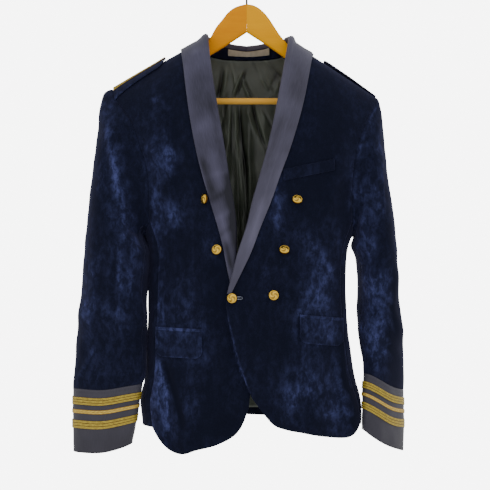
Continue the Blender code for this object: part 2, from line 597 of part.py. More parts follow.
def front_rows(side):
    """Heights of the front's rows along its edge, from the hem's corner to the neck."""
    corner, neck_z, fan_foot = FRONT_EDGE[side][0][0], SHOULDER[side]["neck_z"], CHEST_ROWS[-1]
    skirt = [corner + (SKIRT_TOP - corner) * share for share in HEM_SHARES]
    fan = [fan_foot + (neck_z - fan_foot) * share for share in FAN_SHARES]
    return np.array([*skirt, *BODY_ROWS, *CHEST_ROWS, *fan])


def front_panel(side, collection):
    """One front: its grid, wall and armhole edge."""
    name = "front_left" if side == LEFT else "front_right"
    edge_table, hem_table = FRONT_EDGE[side], FRONT_HEM[side]
    top = [(z, float(smooth(edge_table, z))) for z in front_rows(side)[-len(FAN_SHARES):]]
    side_hem = min(hem_table) if side == LEFT else max(hem_table)
    start_x, start_z, end_x, end_z = panel_rows(
        side, lambda z: smooth(edge_table, z), edge_by_height(side, FRONT_ARMHOLE[side]),
        (edge_table[0][0], side_hem[1]), top)
    share = np.linspace(0, 1, FRONT_COLUMNS + 1)
    share = 1 - (1 - share) ** 1.15
    x, z = ruled(start_x, start_z, end_x, end_z, share, lambda at: smooth(hem_table, at))
    point = front_point(side)
    outer = point(x, z)
    normal = normals(point, x, z, np.array([0.0, -1.0, 0.0]))
    outer[-1, :, 1] = 0.0
    normal[-1] = ridge_normal(side)
    outer = draw_in(outer, ("last_row",))
    below = slice(0, len(HEM_SHARES) + len(BODY_ROWS))
    outer[below] = draw_in(outer[below], ("last_column",))
    add_wall(name, outer, outer - WALL * normal, "velvet", collection)
    first = len(HEM_SHARES) + len(BODY_ROWS) - 1
    return outer[first:, -1], normal[first:, -1]


def back_panel(side, collection):
    """One half of the back."""
    name = "back_left" if side == LEFT else "back_right"
    neck = [(z, 0.0) for z in CENTRE_ROWS] + [(z, side * x) for x, z in neckline(side)]
    start_x, start_z, end_x, end_z = panel_rows(
        side, lambda z: 0.0 * z, edge_by_height(side, BACK_ARMHOLE[side]),
        (BACK_HEM_Z["centre"], BACK_HEM_Z["side"]), neck)
    share = np.linspace(0, 1, BACK_COLUMNS + 1)
    share = 1 - (1 - share) ** 1.2
    x, z = ruled(start_x, start_z, end_x, end_z, share, lambda at: np.interp(
        np.abs(at), (0.0, 0.16), (BACK_HEM_Z["centre"], BACK_HEM_Z["side"])))
    outer = back_point(x, z)
    normal = normals(back_point, x, z, np.array([0.0, 1.0, 0.0]))
    outer[-1, :, 1] = 0.0
    normal[-1] = ridge_normal(side)
    outer = draw_in(outer, ("last_row",))
    centre_rows = slice(0, len(x) - len(NECKLINE) + 1)
    outer[centre_rows] = draw_in(outer[centre_rows], ("first_column",))
    below = slice(0, len(HEM_SHARES) + len(BODY_ROWS))
    outer[below] = draw_in(outer[below], ("last_column",))
    add_wall(name, outer, outer - WALL * normal, "velvet", collection)
    first = len(HEM_SHARES) + len(BODY_ROWS) - 1
    return outer[first:, -1], normal[first:, -1]


def side_panel(side, collection):
    """The panel under the arm, from the front seam to the back seam."""
    name = "side_left" if side == LEFT else "side_right"
    share = SEAM_SHARE[side]
    seam_angle = math.atan2((1 - share ** SECTION_POWER) ** (1 / SECTION_POWER), share)
    across = np.linspace(0, 1, SIDE_COLUMNS + 1)
    angle = -seam_angle + 2 * seam_angle * across
    hem_table = FRONT_HEM[side]
    front_hem = (min(hem_table) if side == LEFT else max(hem_table))[1]
    foot = front_hem + (BACK_HEM_Z["side"] - front_hem) * across
    rows = [foot + (SKIRT_TOP - foot) * part for part in HEM_SHARES]
    dip = np.sin(np.pi * across)
    dips = dict(zip(BODY_ROWS[-3:], (0.20, 0.55, 1.0)))
    rows += [height - ARMPIT_DROP * dips.get(height, 0.0) * dip for height in BODY_ROWS]
    z = np.array(rows)
    angle = np.broadcast_to(angle, z.shape)
    point = side_point(side)
    outer = point(angle, z)
    middle = section(z)[0]
    normal = normals(point, angle, z, outer - np.stack([middle, 0 * z, z], axis=-1))
    outer = draw_in(outer, ("first_column", "last_column"))
    add_wall(name, outer, outer - WALL * normal, "velvet", collection)
    return outer[-1], normal[-1]


def armhole(front, side_top, back):
    """The armhole as one loop, from the shoulder down the front and up the back."""
    points = np.concatenate([front[0][::-1], side_top[0][1:-1], back[0][:-1]])
    cloth = np.concatenate([front[1][::-1], side_top[1][1:-1], back[1][:-1]])
    foot = len(front[0]) - 1 + SIDE_COLUMNS / 2
    return points, cloth, foot


def loop_angles(points, foot):
    """Angle of each point of the loop: 0 at the shoulder, half a turn at the armpit."""
    steps = np.linalg.norm(np.roll(points, -1, axis=0) - points, axis=1)
    length = np.concatenate([[0], np.cumsum(steps)])
    at_foot = np.interp(foot, np.arange(len(length)), length)
    return np.interp(length[:-1], (0, at_foot, length[-1]), (0, math.pi, 2 * math.pi))


def sleeve_ring(row, angles):
    """One section of a sleeve: a flattened ring from its outer edge to its inner edge."""
    outer_x, outer_z, inner_x, inner_z, outer_y, inner_y, half = row[:7]
    outer = np.array([outer_x, outer_y, outer_z])
    inner = np.array([inner_x, inner_y, inner_z])
    wide = (outer - inner) / 2
    thick = np.cross(wide, [0.0, 0.0, 1.0])
    thick[2] = 0.0
    thick = unit(thick) * half
    if thick[1] > 0:
        thick = -thick
    cosine, sine = np.cos(angles)[:, None], np.sin(angles)[:, None]
    power = SLEEVE_POWER
    reach = (np.abs(cosine) ** power + np.abs(sine) ** power) ** (-1 / power)
    ring = (outer + inner) / 2 + reach * (wide * cosine + thick * sine)
    seen = ring[:, 0]
    near, far = (seen.min(), seen.max()) if outer_x > inner_x else (seen.max(), seen.min())
    ring[:, 0] = inner_x + (seen - near) * (outer_x - inner_x) / (far - near)
    return ring


def ring_normals(ring):
    """Unit normals of a closed ring that stay in its own plane."""
    around = np.roll(ring, -1, axis=0) - np.roll(ring, 1, axis=0)
    spread = ring - ring.mean(axis=0)
    plane = unit(np.linalg.svd(spread)[2][2])
    normal = unit(np.cross(around, plane))
    return normal * np.sign((normal * spread).sum())


def sagged(side, ring, angles):
    """Points of a sleeve, the front of its end let down by a bell curve over x."""
    middle_x, spread, depth, at_hem = SAG[side]
    x, z = ring[..., 0], ring[..., 2]
    share = ease(SAG_FROM, SAG_TO, z) * (1 - (1 - at_hem) * ease(SAG_LOW, SAG_HEM, z))
    moved = ring.copy()
    moved[..., 2] -= (depth * share * ease(-0.7, 0.7, np.sin(angles))
                      * np.exp(-((x - middle_x) / spread) ** 2))
    return moved


def sleeve_grid(side, points, cloth, foot):
    """Outer points and normals of a whole sleeve, a closed ring in each row."""
    start = loop_angles(points, foot)
    even = np.arange(len(points)) / len(points)
    even = np.interp(even * len(points), (0, foot, len(points)), (0, math.pi, 2 * math.pi))
    tangent = unit(np.roll(points, -1, axis=0) - np.roll(points, 1, axis=0))
    away = np.cross(cloth, tangent)
    away *= np.sign((away[:3] @ np.array([side, 0.0, 0.0])).sum())
    rows = [points + 1.4 * SEAM * away]
    table = SLEEVE[side]
    columns = np.array(table)
    fine = np.concatenate([[0, 1, 2], np.arange(3, len(table) - 0.9, 0.85)])
    fine[-1] = len(table) - 1
    for place in fine:
        row = [float(smooth(list(enumerate(columns[:, k])), place)) for k in range(8)]
        mix = ease(0, len(table) - 1, place)
        angles = start * (1 - mix) + even * mix
        ring = sleeve_ring(row, angles)
        carry = row[7]
        if place < 3:
            ring = carry * (points + CAP_REACH[int(place)] * away) + (1 - carry) * ring
            seen = side * ring[:, 0]
            spread = (side * row[0] - seen.min()) / (seen.max() - seen.min())
            ring[:, 0] = side * (seen.min() + (seen - seen.min()) * spread)
        for height, front, back, width in SLEEVE_CREASES[side]:
            bump = np.exp(-((ring[:, 2:] - height) / width) ** 2)
            face = np.where(np.sin(angles) > 0, front, back)[:, None]
            lift = bump * face * (np.sin(angles)[:, None] ** 2)
            ring = ring + lift * unit(ring - ring.mean(axis=0))
        rows.append(sagged(side, ring, angles))
    outer = np.array(rows)
    along = np.roll(outer, -1, axis=1) - np.roll(outer, 1, axis=1)
    down = np.gradient(outer, axis=0)
    normal = unit(np.cross(along, down))
    centre = outer.mean(axis=1, keepdims=True)
    normal *= np.sign((normal[6] * (outer[6] - centre[6])).sum())
    match = (normal[0] * cloth).sum(-1, keepdims=True)
    share = ease(0.0, 0.7, match)
    normal[0] = unit(cloth * share + normal[0] * (1 - share))
    normal[-1] = ring_normals(outer[-1])
    return outer, normal


def sleeve_pieces(side, loop, collection):
    """The top sleeve and the under sleeve."""
    word = "left" if side == LEFT else "right"
    outer, normal = sleeve_grid(side, *loop)
    count = outer.shape[1]
    top = [i % count for i in range(-TOP_SLEEVE_BACK, TOP_SLEEVE_FRONT + 1)]
    under = list(range(TOP_SLEEVE_FRONT, count - TOP_SLEEVE_BACK + 1))
    for name, columns in (("top_sleeve_", top), ("under_sleeve_", under)):
        grid = draw_in(outer[:, columns], ("first_column", "last_column"))
        add_wall(name + word, grid, grid - WALL * normal[:, columns], "velvet", collection)


def cuff_ring(side, share, out=0.0):
    """A ring of the cuff at a share of its length, moved out by a distance."""
    table = np.array(CUFF[side])
    place = share * (len(table) - 1)
    row = [float(smooth(list(enumerate(table[:, k])), place)) for k in range(7)]
    angles = np.linspace(0, 2 * math.pi, CUFF_COLUMNS, endpoint=False)
    ring = sleeve_ring(row, angles)
    ring[:, 2] -= CUFF_DROOP[side] * share ** 2 * np.sin(angles)
    return sagged(side, ring, angles) + out * ring_normals(ring)


def cuff_pieces(side, collection):
    """The satin cuff and its three rows of braid."""
    word = "left" if side == LEFT else "right"
    shares = (0.0, 0.33, 0.66, 1.0)
    outer = np.array([cuff_ring(side, share) for share in shares])
    inner = np.array([cuff_ring(side, share, -SATIN) for share in shares])
    add_wall("cuff_" + word, outer, inner, "satin", collection, ring=True)
    for row, (share, width) in BRAIDS.items():
        ends = (share - width / CUFF_LENGTH / 2, share + width / CUFF_LENGTH / 2)
        inner = np.array([cuff_ring(side, end, BRAID_GAP) for end in ends])
        outer = np.array([cuff_ring(side, end, BRAID_GAP + BRAID) for end in ends])
        add_wall(f"braid_{row}_{word}", outer, inner, "gold_braid", collection, ring=True)


def collar_stations(side):
    """The collar's bed as stations: samplers of its middle and normal, climb and width."""
    front = front_point(side)
    stations = []
    rows = front_rows(side)
    for edge_z, outer_x, outer_z, *rise in LAPEL[side]:
        edge_x = float(np.interp(edge_z, rows, smooth(FRONT_EDGE[side], rows)))
        stations.append((front, edge_x, edge_z, outer_x, outer_z, rise))
    reach, rise_in, rise_up = COLLAR_SHOULDER[side]
    stations.append((shoulder_point, side * NECK_X, SHOULDER[side]["neck_z"], side * reach,
                     float(shoulder_z(np.array(side * reach))), (rise_in, 0.0, rise_up)))
    neck_x, neck_z = zip(*neckline(side))
    for edge_x, outer_x, outer_z, *rise in COLLAR_BACK:
        stations.append((back_point, side * edge_x, float(np.interp(edge_x, neck_x, neck_z)),
                         side * outer_x, outer_z, rise))
    grid, sizes = [], []
    fine = np.linspace(0, 1, 25)
    for surface, edge_x, edge_z, outer_x, outer_z, (rise_in, rise_back, rise_up) in stations:
        panel = surface(edge_x + (outer_x - edge_x) * fine, edge_z + (outer_z - edge_z) * fine)
        rise = np.array([-side * rise_in, rise_back, rise_up])
        climb = np.linalg.norm(rise)
        whole = panel
        if climb > 0:
            whole = np.concatenate([panel[0] + np.linspace(1, 0, 9)[:-1, None] * rise, panel])
        length = np.concatenate([[0], np.cumsum(np.linalg.norm(np.diff(whole, axis=0), axis=1))])
        even = np.linspace(0, length[-1], 41)
        grid.append(np.stack([np.interp(even, length, whole[:, k]) for k in range(3)], axis=-1))
        sizes.append((climb, length[-1]))
    grid = np.array(grid)
    normal = unit(np.cross(np.gradient(grid, axis=0), np.gradient(grid, axis=1)))
    normal *= np.sign(-normal[0, 20, 1])
    normal[-1, :, 0] = 0.0
    normal[-1] = unit(normal[-1])
    return grid - normal * WALL / 2, normal, sizes


def shoulder_point(x, z):
    """The shoulder line itself, where the front and the back meet."""
    return np.stack([x, 0 * x, shoulder_z(x)], axis=-1)


def bed_at(grid, normal, whole, distance):
    """Place and normal on one station's bed at a distance from the roll."""
    place = np.clip(distance / whole, 0, 1) * (len(grid) - 1)
    samples = np.arange(len(grid))
    spot = np.array([np.interp(place, samples, grid[:, k]) for k in range(3)])
    way = unit(np.array([np.interp(place, samples, normal[:, k]) for k in range(3)]))
    return spot, way


COLLAR_OFFSET = WALL / 2 + 1.15 * REST + SATIN / 2


def collar_half(side, collection):
    """Half of the shawl collar: turned-in ply, roll and fall as one folded strip."""
    name = "collar_left" if side == LEFT else "collar_right"
    rows = []
    for k, (grid, normal, (climb, whole)) in enumerate(zip(*collar_stations(side))):
        from_shoulder = (k - len(LAPEL[side])) / COLLAR_SLACK[1]
        offset = COLLAR_OFFSET + COLLAR_SLACK[0] * math.exp(-from_shoulder ** 2)
        top, up = bed_at(grid, normal, whole, 0.0)
        inward = -unit(grid[2] - grid[0])
        turn = min(climb + TURN_IN, 0.7 * whole + 0.002)
        row = []
        for share in (1.0, 0.5):
            spot, way = bed_at(grid, normal, whole, turn * share)
            row.append(spot - way * offset)
        for turned in (-90, -45, 0, 45, 90):
            angle = math.radians(turned)
            row.append(top + offset * (inward * math.cos(angle) + up * math.sin(angle)))
        for j in range(1, FALL_POINTS + 1):
            share = j / FALL_POINTS
            spot, way = bed_at(grid, normal, whole, whole * share)
            bulge = FALL_BULGE * math.sin(math.pi * share) * min(whole / 0.04, 1.0)
            bulge *= 1 - 0.8 * math.exp(-from_shoulder ** 2)
            row.append(spot + way * (offset + bulge))
        rows.append(row)
    middle = np.array(rows)
    normal = unit(np.cross(np.gradient(middle, axis=0), np.gradient(middle, axis=1)))
    normal *= np.sign(-normal[0, -2, 1])
    normal[-1, :, 0] = 0.0
    normal[-1] = unit(normal[-1])
    middle = draw_in(middle, ("last_row",))
    outer, inner = middle + normal * SATIN / 2, middle - normal * SATIN / 2
    add_wall(name, outer, inner, "satin", collection)


def patch(point, corners, depth, rows, columns, corner=0.0):
    """A grid on a panel: top edge between two corners, hanging down by depth.

    With a corner size, the lower corners are rounded off."""
    (inner_x, inner_z), (outer_x, outer_z) = corners
    u = np.linspace(0, 1, columns + 1)
    u = 0.3 * u + 0.35 * (1 - np.cos(math.pi * u))
    v = np.linspace(0, 1, rows + 1)[:, None]
    length = abs(outer_x - inner_x)
    from_end = np.minimum(u, 1 - u) * length
    cut = corner - np.sqrt(np.clip(corner**2 - np.clip(corner - from_end, 0, None) ** 2, 0, None))
    lean = 0.06 * (outer_z - inner_z) / length
    x = inner_x + (outer_x - inner_x) * u + lean * v * depth
    z = inner_z + (outer_z - inner_z) * u - v * (depth - cut)
    return x, z, point(x, z)


def lay_on(name, point, corners, depth, rows, columns, gap, thick, material, collection,
           corner=0.0):
    """A flat piece on a front, made from the front's points moved out."""
    x, z, bed = patch(point, corners, depth, rows, columns, corner)
    normal = normals(point, x, z, np.array([0.0, -1.0, 0.0]))
    inner = bed + normal * gap
    add_wall(name, inner + normal * thick, inner, material, collection)


def pockets(collection):
    """Breast welt, and a jet and a flap on each hip pocket."""
    point = front_point(WELT["side"])
    lay_on("breast_welt", point, (WELT["inner"], WELT["outer"]), WELT["depth"], 2, 6,
           REST, TRIM, "velvet", collection)
    for side, word in ((LEFT, "left"), (RIGHT, "right")):
        point = front_point(side)
        flap = FLAPS[side]
        corners = (flap["inner"], flap["outer"])
        lay_on("flap_" + word, point, corners, flap["depth"], 4, 8, 1.6 * REST, TRIM, "velvet",
               collection, corner=FLAP_CORNER)
        lift = JET_DEPTH + SEAM
        raised = tuple((x, z + lift) for x, z in corners)
        lay_on("jet_" + word, point, raised, JET_DEPTH, 1, 6, REST, TRIM, "velvet", collection)


def button_profile(shank):
    """Outline of a domed shank button from its crown to the foot of its shank."""
    r, dome = BUTTON_RADIUS, BUTTON_DOME
    rim = 0.0010
    crown = [(r * 0.90 * math.sin(a), rim + dome * math.cos(a))
             for a in (0.45, 0.9, 1.3)]
    return [(0.0, rim + dome), *crown, (r, rim * 0.5), (r * 0.92, 0.0),
            (BUTTON_SHANK_RADIUS, -0.0004), (BUTTON_SHANK_RADIUS, -shank), (0.0, -shank)]


def turned_mesh(name, profile, segments):
    """Solid of revolution about +Z, from a profile of radius and height."""
    shape = bmesh.new()
    previous = None
    for radius, height in profile:
        if radius == 0:
            ring = [shape.verts.new((0, 0, height))]
        else:
            ring = [shape.verts.new((radius * math.cos(2 * math.pi * k / segments),
                                     radius * math.sin(2 * math.pi * k / segments), height))
                    for k in range(segments)]
        if previous:
            for k in range(segments):
                a, b = previous[k % len(previous)], previous[(k + 1) % len(previous)]
                c, d = ring[(k + 1) % len(ring)], ring[k % len(ring)]
                shape.faces.new(list(dict.fromkeys((a, d, c, b))))
        previous = ring
    bmesh.ops.recalc_face_normals(shape, faces=shape.faces)
    mesh = bpy.data.meshes.new(name)
    shape.to_mesh(mesh)
    shape.free()
    mesh.shade_smooth()
    mesh.set_sharp_from_angle(angle=math.radians(40))
    return mesh


def buttons(collection):
    """Six domed buttons. The waist one is sewn to the left front, and its shank goes
    through the right front's buttonhole."""
    for name, (x, z, turn, nod, side) in BUTTONS.items():
        x, z = np.array(x), np.array(z)
        point = front_point(side)
        spot = point(x, z)
        way = normals(point, x, z, np.array([0.0, -1.0, 0.0]))
        shank = BUTTON_SHANK
        if name == "button_front":
            shank += lap_depth(x, z) - SEAM
        thing = add_object(name, turned_mesh(name, button_profile(shank), BUTTON_SIDES),
                           "gold_button", collection)
        thing.rotation_euler = (math.radians(90 - nod), 0.0, math.radians(turn))
        axis = np.array(thing.rotation_euler.to_matrix())[:, 2]
        cosine = float(axis @ way)
        sine = math.sqrt(max(0.0, 1 - cosine**2))
        foot = BUTTON_SHANK * cosine + BUTTON_SHANK_RADIUS * sine
        stand = max(foot, BUTTON_RADIUS * sine - BUTTON_DIP) + SEAM + BUTTON_REST
        thing.location = tuple(spot + way * stand)


def lap_depth(x, z):
    """Distance from the right front's face to the left front's face where they lap."""
    return float(front_point(LEFT)(x, z)[1] - front_point(RIGHT)(x, z)[1])


def straps(collection):
    """Shoulder straps with a band of braid, laid over the shoulder line."""
    for side, word in ((LEFT, "left"), (RIGHT, "right")):
        strap = STRAPS[side]

        def bed(x, y, side=side):
            """Point of the shoulder at x and y, on the front or the back of its line."""
            z0 = shoulder_z(x)
            middle, half, front, back = section(z0 - 0.01)
            share = np.abs((x - middle) / half)
            curve = (1 - share ** SECTION_POWER) ** (1 / SECTION_POWER)
            depth = np.where(y < 0, -front, back) * curve
            ridge = np.clip(np.abs(y) / depth, 0, 0.999)
            drop = 1 - (1 - ridge ** RIDGE_POWER) ** (1 / RIDGE_POWER)
            return np.stack([x + 0 * y, y + 0 * x, z0 - RIDGE_DEPTH * drop], axis=-1)

        def band(front, back, gap, thick, name, material, columns, tip, side=side, bed=bed):
            along = np.linspace(0, 1, STRAP_POINTS)[:, None]
            narrow = tip * (1 - np.clip(along / 0.16, 0, 1)) ** 2
            half, centre = (back - front) / 2, (back + front) / 2
            y = centre + half * (1 - narrow) * np.linspace(-1, 1, columns + 1)
            outer_x = strap["outer"] - STRAP_ROUND * y * y
            x = side * (strap["inner"] + (outer_x - strap["inner"]) * along)
            normal = normals(bed, x, y, np.array([0.0, 0.0, 1.0]))
            lift = gap + STRAP_LIFT * (1 - np.clip(along / 0.35, 0, 1)) ** 2
            lift = lift + strap["bow"] * np.sin(np.pi * along ** 0.6)
            inner = bed(x, y) + normal * lift[..., None]
            add_wall(name, inner + normal * thick, inner, material, collection)

        band(strap["front"], strap["back"], STRAP_GAP, TRIM, "strap_" + word, "velvet", 6, 0.55)
        centre = (strap["front"] + strap["back"]) / 2 - STRAP_BRAID_SHIFT
        band(centre - STRAP_BRAID / 2, centre + STRAP_BRAID / 2, STRAP_GAP + TRIM + BRAID_GAP,
             BRAID, "strap_braid_" + word, "gold_braid", 4, 0.2)


def lining(collection):
    """Back lining with its creases."""
    rows = np.array(LINING_ROWS)[:, None]
    share = np.linspace(-1, 1, LINING_COLUMNS + 1)
    share = 0.6 * share + 0.4 * share ** 3
    x = share * smooth(LINING_WIDTHS, rows)
    neck = smooth(NECKLINE, np.abs(x)) - LINING_DROP
    z = LINING_BOTTOM + (neck - LINING_BOTTOM) * rows
    normal = normals(back_point, x, z, np.array([0.0, 1.0, 0.0]))
    folds = fold_height(LINING_FOLDS, x, z) * ease(1.0, 0.9, rows)
    slack = np.maximum(LINING_SLACK * ease(1.02, 0.8, rows) + folds, 0.0)
    outer = back_point(x, z) - normal * (WALL + 2 * REST)
    outer[..., 1] -= slack
    add_wall("lining_back", outer, outer - np.array([0.0, LINING, 0.0]), "lining", collection)


def neck_pieces(collection):
    """The velvet band inside the collar's stand and the bare label on it."""
    shares = (0.20, 0.60, 1.0)
    rows = []
    for side in (LEFT, RIGHT):
        stations = list(zip(*collar_stations(side)))[-4:]
        for grid, normal, (climb, whole) in stations if side == LEFT else stations[-2::-1]:
            row = []
            for share in shares:
                spot, way = bed_at(grid, normal, whole, (climb + TURN_IN - 0.001) * share)
                row.append((spot, way))
            rows.append(row)
    spots = np.array([[spot for spot, _ in row] for row in rows])
    ways = np.array([[way for _, way in row] for row in rows])
    spots[3, :, 0] = 0.0
    depth = COLLAR_OFFSET + SATIN / 2 + REST
    outer = spots - ways * depth
    add_wall("neck_band", outer, outer - ways * TRIM, "velvet", collection)
    x = np.linspace(LABEL["left"], LABEL["right"], 7)
    label, facing = [], []
    for share in LABEL["rows"]:
        row = spots[:, 0] + (spots[:, -1] - spots[:, 0]) * share
        way = ways[:, 0] + (ways[:, -1] - ways[:, 0]) * share
        row = row - unit(way) * (depth + TRIM + REST)
        label.append(np.stack([np.interp(x, row[:, 0], row[:, k]) for k in range(3)], axis=-1))
        facing.append(np.stack([np.interp(x, row[:, 0], way[:, k]) for k in range(3)], axis=-1))
    label, facing = np.array(label), unit(np.array(facing))
    add_wall("neck_label", label, label - facing * LABEL["thick"], "label", collection)


def hanger(collection, cutters):
    """Two wooden arms with a mitre between them, a round bar and a wire hook."""
    angles = np.linspace(0, 2 * math.pi, HANGER_SIDES, endpoint=False) + math.pi / HANGER_SIDES
    power = 4.0
    reach = (np.abs(np.cos(angles)) ** power + np.abs(np.sin(angles)) ** power) ** (-1 / power)
    bore = drill("bore_bar", BAR_RADIUS + SEAM, 2 * (BAR_END + SEAM), cutters)
    bore.rotation_euler = (0.0, math.radians(90), 0.0)
    bore.location = (0.0, 0.0, BAR_Z)
    hole = drill("bore_hook", HOOK_WIRE + SEAM, 0.040, cutters)
    hole.location = (0.0, 0.0, HOOK_FOOT_Z - SEAM + 0.020)
    for side, word in ((LEFT, "left"), (RIGHT, "right")):
        shape = bmesh.new()
        rings = []
        for distance, top, bottom in HANGER_SECTIONS[side]:
            half, middle = (top - bottom) / 2, (top + bottom) / 2
            thick = HANGER_HALF_THICK * min(1.0, 0.55 + half / 0.02)
            rings.append([shape.verts.new((side * distance, thick * r * math.sin(a),
                                           middle + half * r * math.cos(a)))
                          for a, r in zip(angles, reach)])
        for near, far in zip(rings, rings[1:]):
            for k in range(HANGER_SIDES):
                j = (k + 1) % HANGER_SIDES
                shape.faces.new((near[k], near[j], far[j], far[k]))
        shape.faces.new(rings[0])
        shape.faces.new(rings[-1][::-1])
        bmesh.ops.recalc_face_normals(shape, faces=shape.faces)
        mesh = bpy.data.meshes.new("hanger_" + word)
        shape.to_mesh(mesh)
        shape.free()
        mesh.shade_smooth()
        mesh.set_sharp_from_angle(angle=math.radians(40))
        arm = add_object("hanger_" + word, mesh, "wood", collection)
        for cutter in (bore, hole):
            cut = arm.modifiers.new("cut", "BOOLEAN")
            cut.operation = "DIFFERENCE"
            cut.solver = "EXACT"
            cut.object = cutter
    bpy.ops.mesh.primitive_cylinder_add(vertices=20, radius=BAR_RADIUS, depth=2 * BAR_END,
                                        location=(0, 0, BAR_Z), rotation=(0, math.pi / 2, 0))
    take("hanger_bar", "bar_wood", collection)


def drill(name, radius, depth, cutters):
    """A cylinder that cuts a bore."""
    bpy.ops.mesh.primitive_cylinder_add(vertices=20, radius=radius, depth=depth)
    cutter = take(name, "steel", cutters)
    cutter.hide_render = True
    cutter.display_type = "WIRE"
    return cutter


def take(name, material, collection):
    """Name the active object, give it its finish and move it to a collection."""
    thing = bpy.context.active_object
    thing.name = name
    thing.data.name = name
    thing.data.materials.append(finish(material))
    for old in list(thing.users_collection):
        old.objects.unlink(thing)
    collection.objects.link(thing)
    return thing


def hook(collection):
    """Wire hook: a shank that bends aside and a round bow over the rail."""
    radius = HOOK_INNER + HOOK_WIRE
    centre_z = -HOOK_INNER
    points = [(0.0, HOOK_FOOT_Z), (0.0, -0.080), (0.0, -0.068), (0.0, HOOK_NECK_Z),
              (0.0012, HOOK_NECK_Z + 0.006), (0.0052, HOOK_NECK_Z + 0.0115)]
    for turned in range(-42, 200, 13):
        angle = math.radians(turned)
        points.append((radius * math.cos(angle), centre_z + radius * math.sin(angle)))
    wire = bpy.data.curves.new("hanger_hook", "CURVE")
    wire.dimensions = "3D"
    wire.bevel_depth = HOOK_WIRE
    wire.bevel_resolution = 2
    wire.use_fill_caps = True
    spline = wire.splines.new("POLY")
    spline.points.add(len(points) - 1)
    for place, (x, z) in zip(spline.points, points):
        place.co = (x, 0.0, z, 1.0)
    wire.materials.append(finish("steel"))
    collection.objects.link(bpy.data.objects.new("hanger_hook", wire))


def buttonhole(collection, cutters):
    """Cut the waist buttonhole through the right front."""
    front = collection.objects["front_right"]
    bpy.ops.mesh.primitive_cube_add(size=1.0)
    cutter = take("cut_buttonhole", "steel", cutters)
    cutter.scale = (BUTTONHOLE["length"], 0.03, BUTTONHOLE["width"])
    cutter.location = (BUTTONHOLE["start_x"] + BUTTONHOLE["length"] / 2, -0.086,
                       BUTTONHOLE["z"])
    cutter.hide_render = True
    cutter.display_type = "WIRE"
    cut = front.modifiers.new("buttonhole", "BOOLEAN")
    cut.operation = "DIFFERENCE"
    cut.solver = "EXACT"
    cut.object = cutter


def build():
    """Empty the scene, then make every piece."""
    for thing in list(bpy.data.objects):
        bpy.data.objects.remove(thing, do_unlink=True)
    jacket = bpy.data.collections.new("tuxedo_jacket_on_hanger")
    cutters = bpy.data.collections.new("cutters")
    for collection in (jacket, cutters):
        bpy.context.scene.collection.children.link(collection)
    for side in (LEFT, RIGHT):
        front = front_panel(side, jacket)
        back = back_panel(side, jacket)
        under_arm = side_panel(side, jacket)
        sleeve_pieces(side, armhole(front, under_arm, back), jacket)
        cuff_pieces(side, jacket)
        collar_half(side, jacket)
    pockets(jacket)
    buttons(jacket)
    buttonhole(jacket, cutters)
    straps(jacket)
    lining(jacket)
    neck_pieces(jacket)
    hanger(jacket, cutters)
    hook(jacket)


build()
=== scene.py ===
"""Looks of the velvet tuxedo jacket that hangs on a wooden hanger.

Metres, +Z up, the jacket's front faces -Y and +X is the right-hand side of the view.
Every piece of cloth is a surface over two parameters, with a wall behind it."""
import math
import bpy
import numpy as np
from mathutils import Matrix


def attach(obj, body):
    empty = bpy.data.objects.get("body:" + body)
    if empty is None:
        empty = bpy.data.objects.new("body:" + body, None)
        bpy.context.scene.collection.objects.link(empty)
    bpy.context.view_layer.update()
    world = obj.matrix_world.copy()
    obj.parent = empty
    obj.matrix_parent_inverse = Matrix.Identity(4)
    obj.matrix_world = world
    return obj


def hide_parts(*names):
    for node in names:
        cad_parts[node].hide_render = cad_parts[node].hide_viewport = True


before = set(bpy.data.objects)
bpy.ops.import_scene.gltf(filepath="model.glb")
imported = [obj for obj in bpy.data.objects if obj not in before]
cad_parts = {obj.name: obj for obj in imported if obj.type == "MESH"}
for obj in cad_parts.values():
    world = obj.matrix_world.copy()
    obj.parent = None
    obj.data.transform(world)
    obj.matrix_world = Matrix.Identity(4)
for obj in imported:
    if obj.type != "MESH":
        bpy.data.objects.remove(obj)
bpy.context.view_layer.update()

# Studio: a level camera three metres in front of the jacket, soft lamps, a pale floor.
# The jacket hangs from a rail, so the floor is well below it.
CAMERA_DISTANCE, FIELD, AIM = 3.0, 0.8575, (-0.003, -0.491)
AMBIENT, WHITE_WALL = 0.95, 7.0
SENSOR = 36.0
LAMPS_AIM = (0.0, 0.0, -0.45)


def in_scene(name, data):
    """A new object of the scene."""
    made = bpy.data.objects.new(name, data)
    bpy.context.scene.collection.objects.link(made)
    return made


camera = in_scene("camera", bpy.data.cameras.new("camera"))
camera.data.sensor_width = SENSOR
camera.data.lens = SENSOR * CAMERA_DISTANCE / FIELD
camera.location = (AIM[0], -CAMERA_DISTANCE, AIM[1])
camera.rotation_euler = (math.radians(90), 0.0, 0.0)
bpy.context.scene.camera = camera

LAMPS = (
    # x      y     z    size  watts
    (-1.9, -2.6, 0.9, 1.6, 74.0),
    (2.1, -2.6, 0.3, 1.8, 38.0),
    (0.2, -2.4, -1.6, 1.6, 10.0),
    (-1.2, 2.6, 0.6, 1.8, 44.0),
    (1.6, 2.4, 0.2, 1.8, 30.0),
)
for number, (x, y, z, size, watts) in enumerate(LAMPS):
    lamp = in_scene(f"lamp_{number}", bpy.data.lights.new(f"lamp_{number}", "AREA"))
    lamp.data.energy, lamp.data.size = watts, size
    way = np.array(LAMPS_AIM) - (x, y, z)
    lamp.location = (x, y, z)
    lamp.rotation_euler = (math.acos(way[2] / np.linalg.norm(way)) - math.pi, 0.0,
                           math.atan2(way[1], way[0]) - math.pi / 2)
world = bpy.data.worlds.new("studio")
world.use_nodes = True
backdrop = world.node_tree.nodes["Background"]
backdrop.inputs["Color"].default_value = (1.0, 1.0, 1.0, 1.0)
seen = world.node_tree.nodes.new("ShaderNodeLightPath")
glow = world.node_tree.nodes.new("ShaderNodeMapRange")
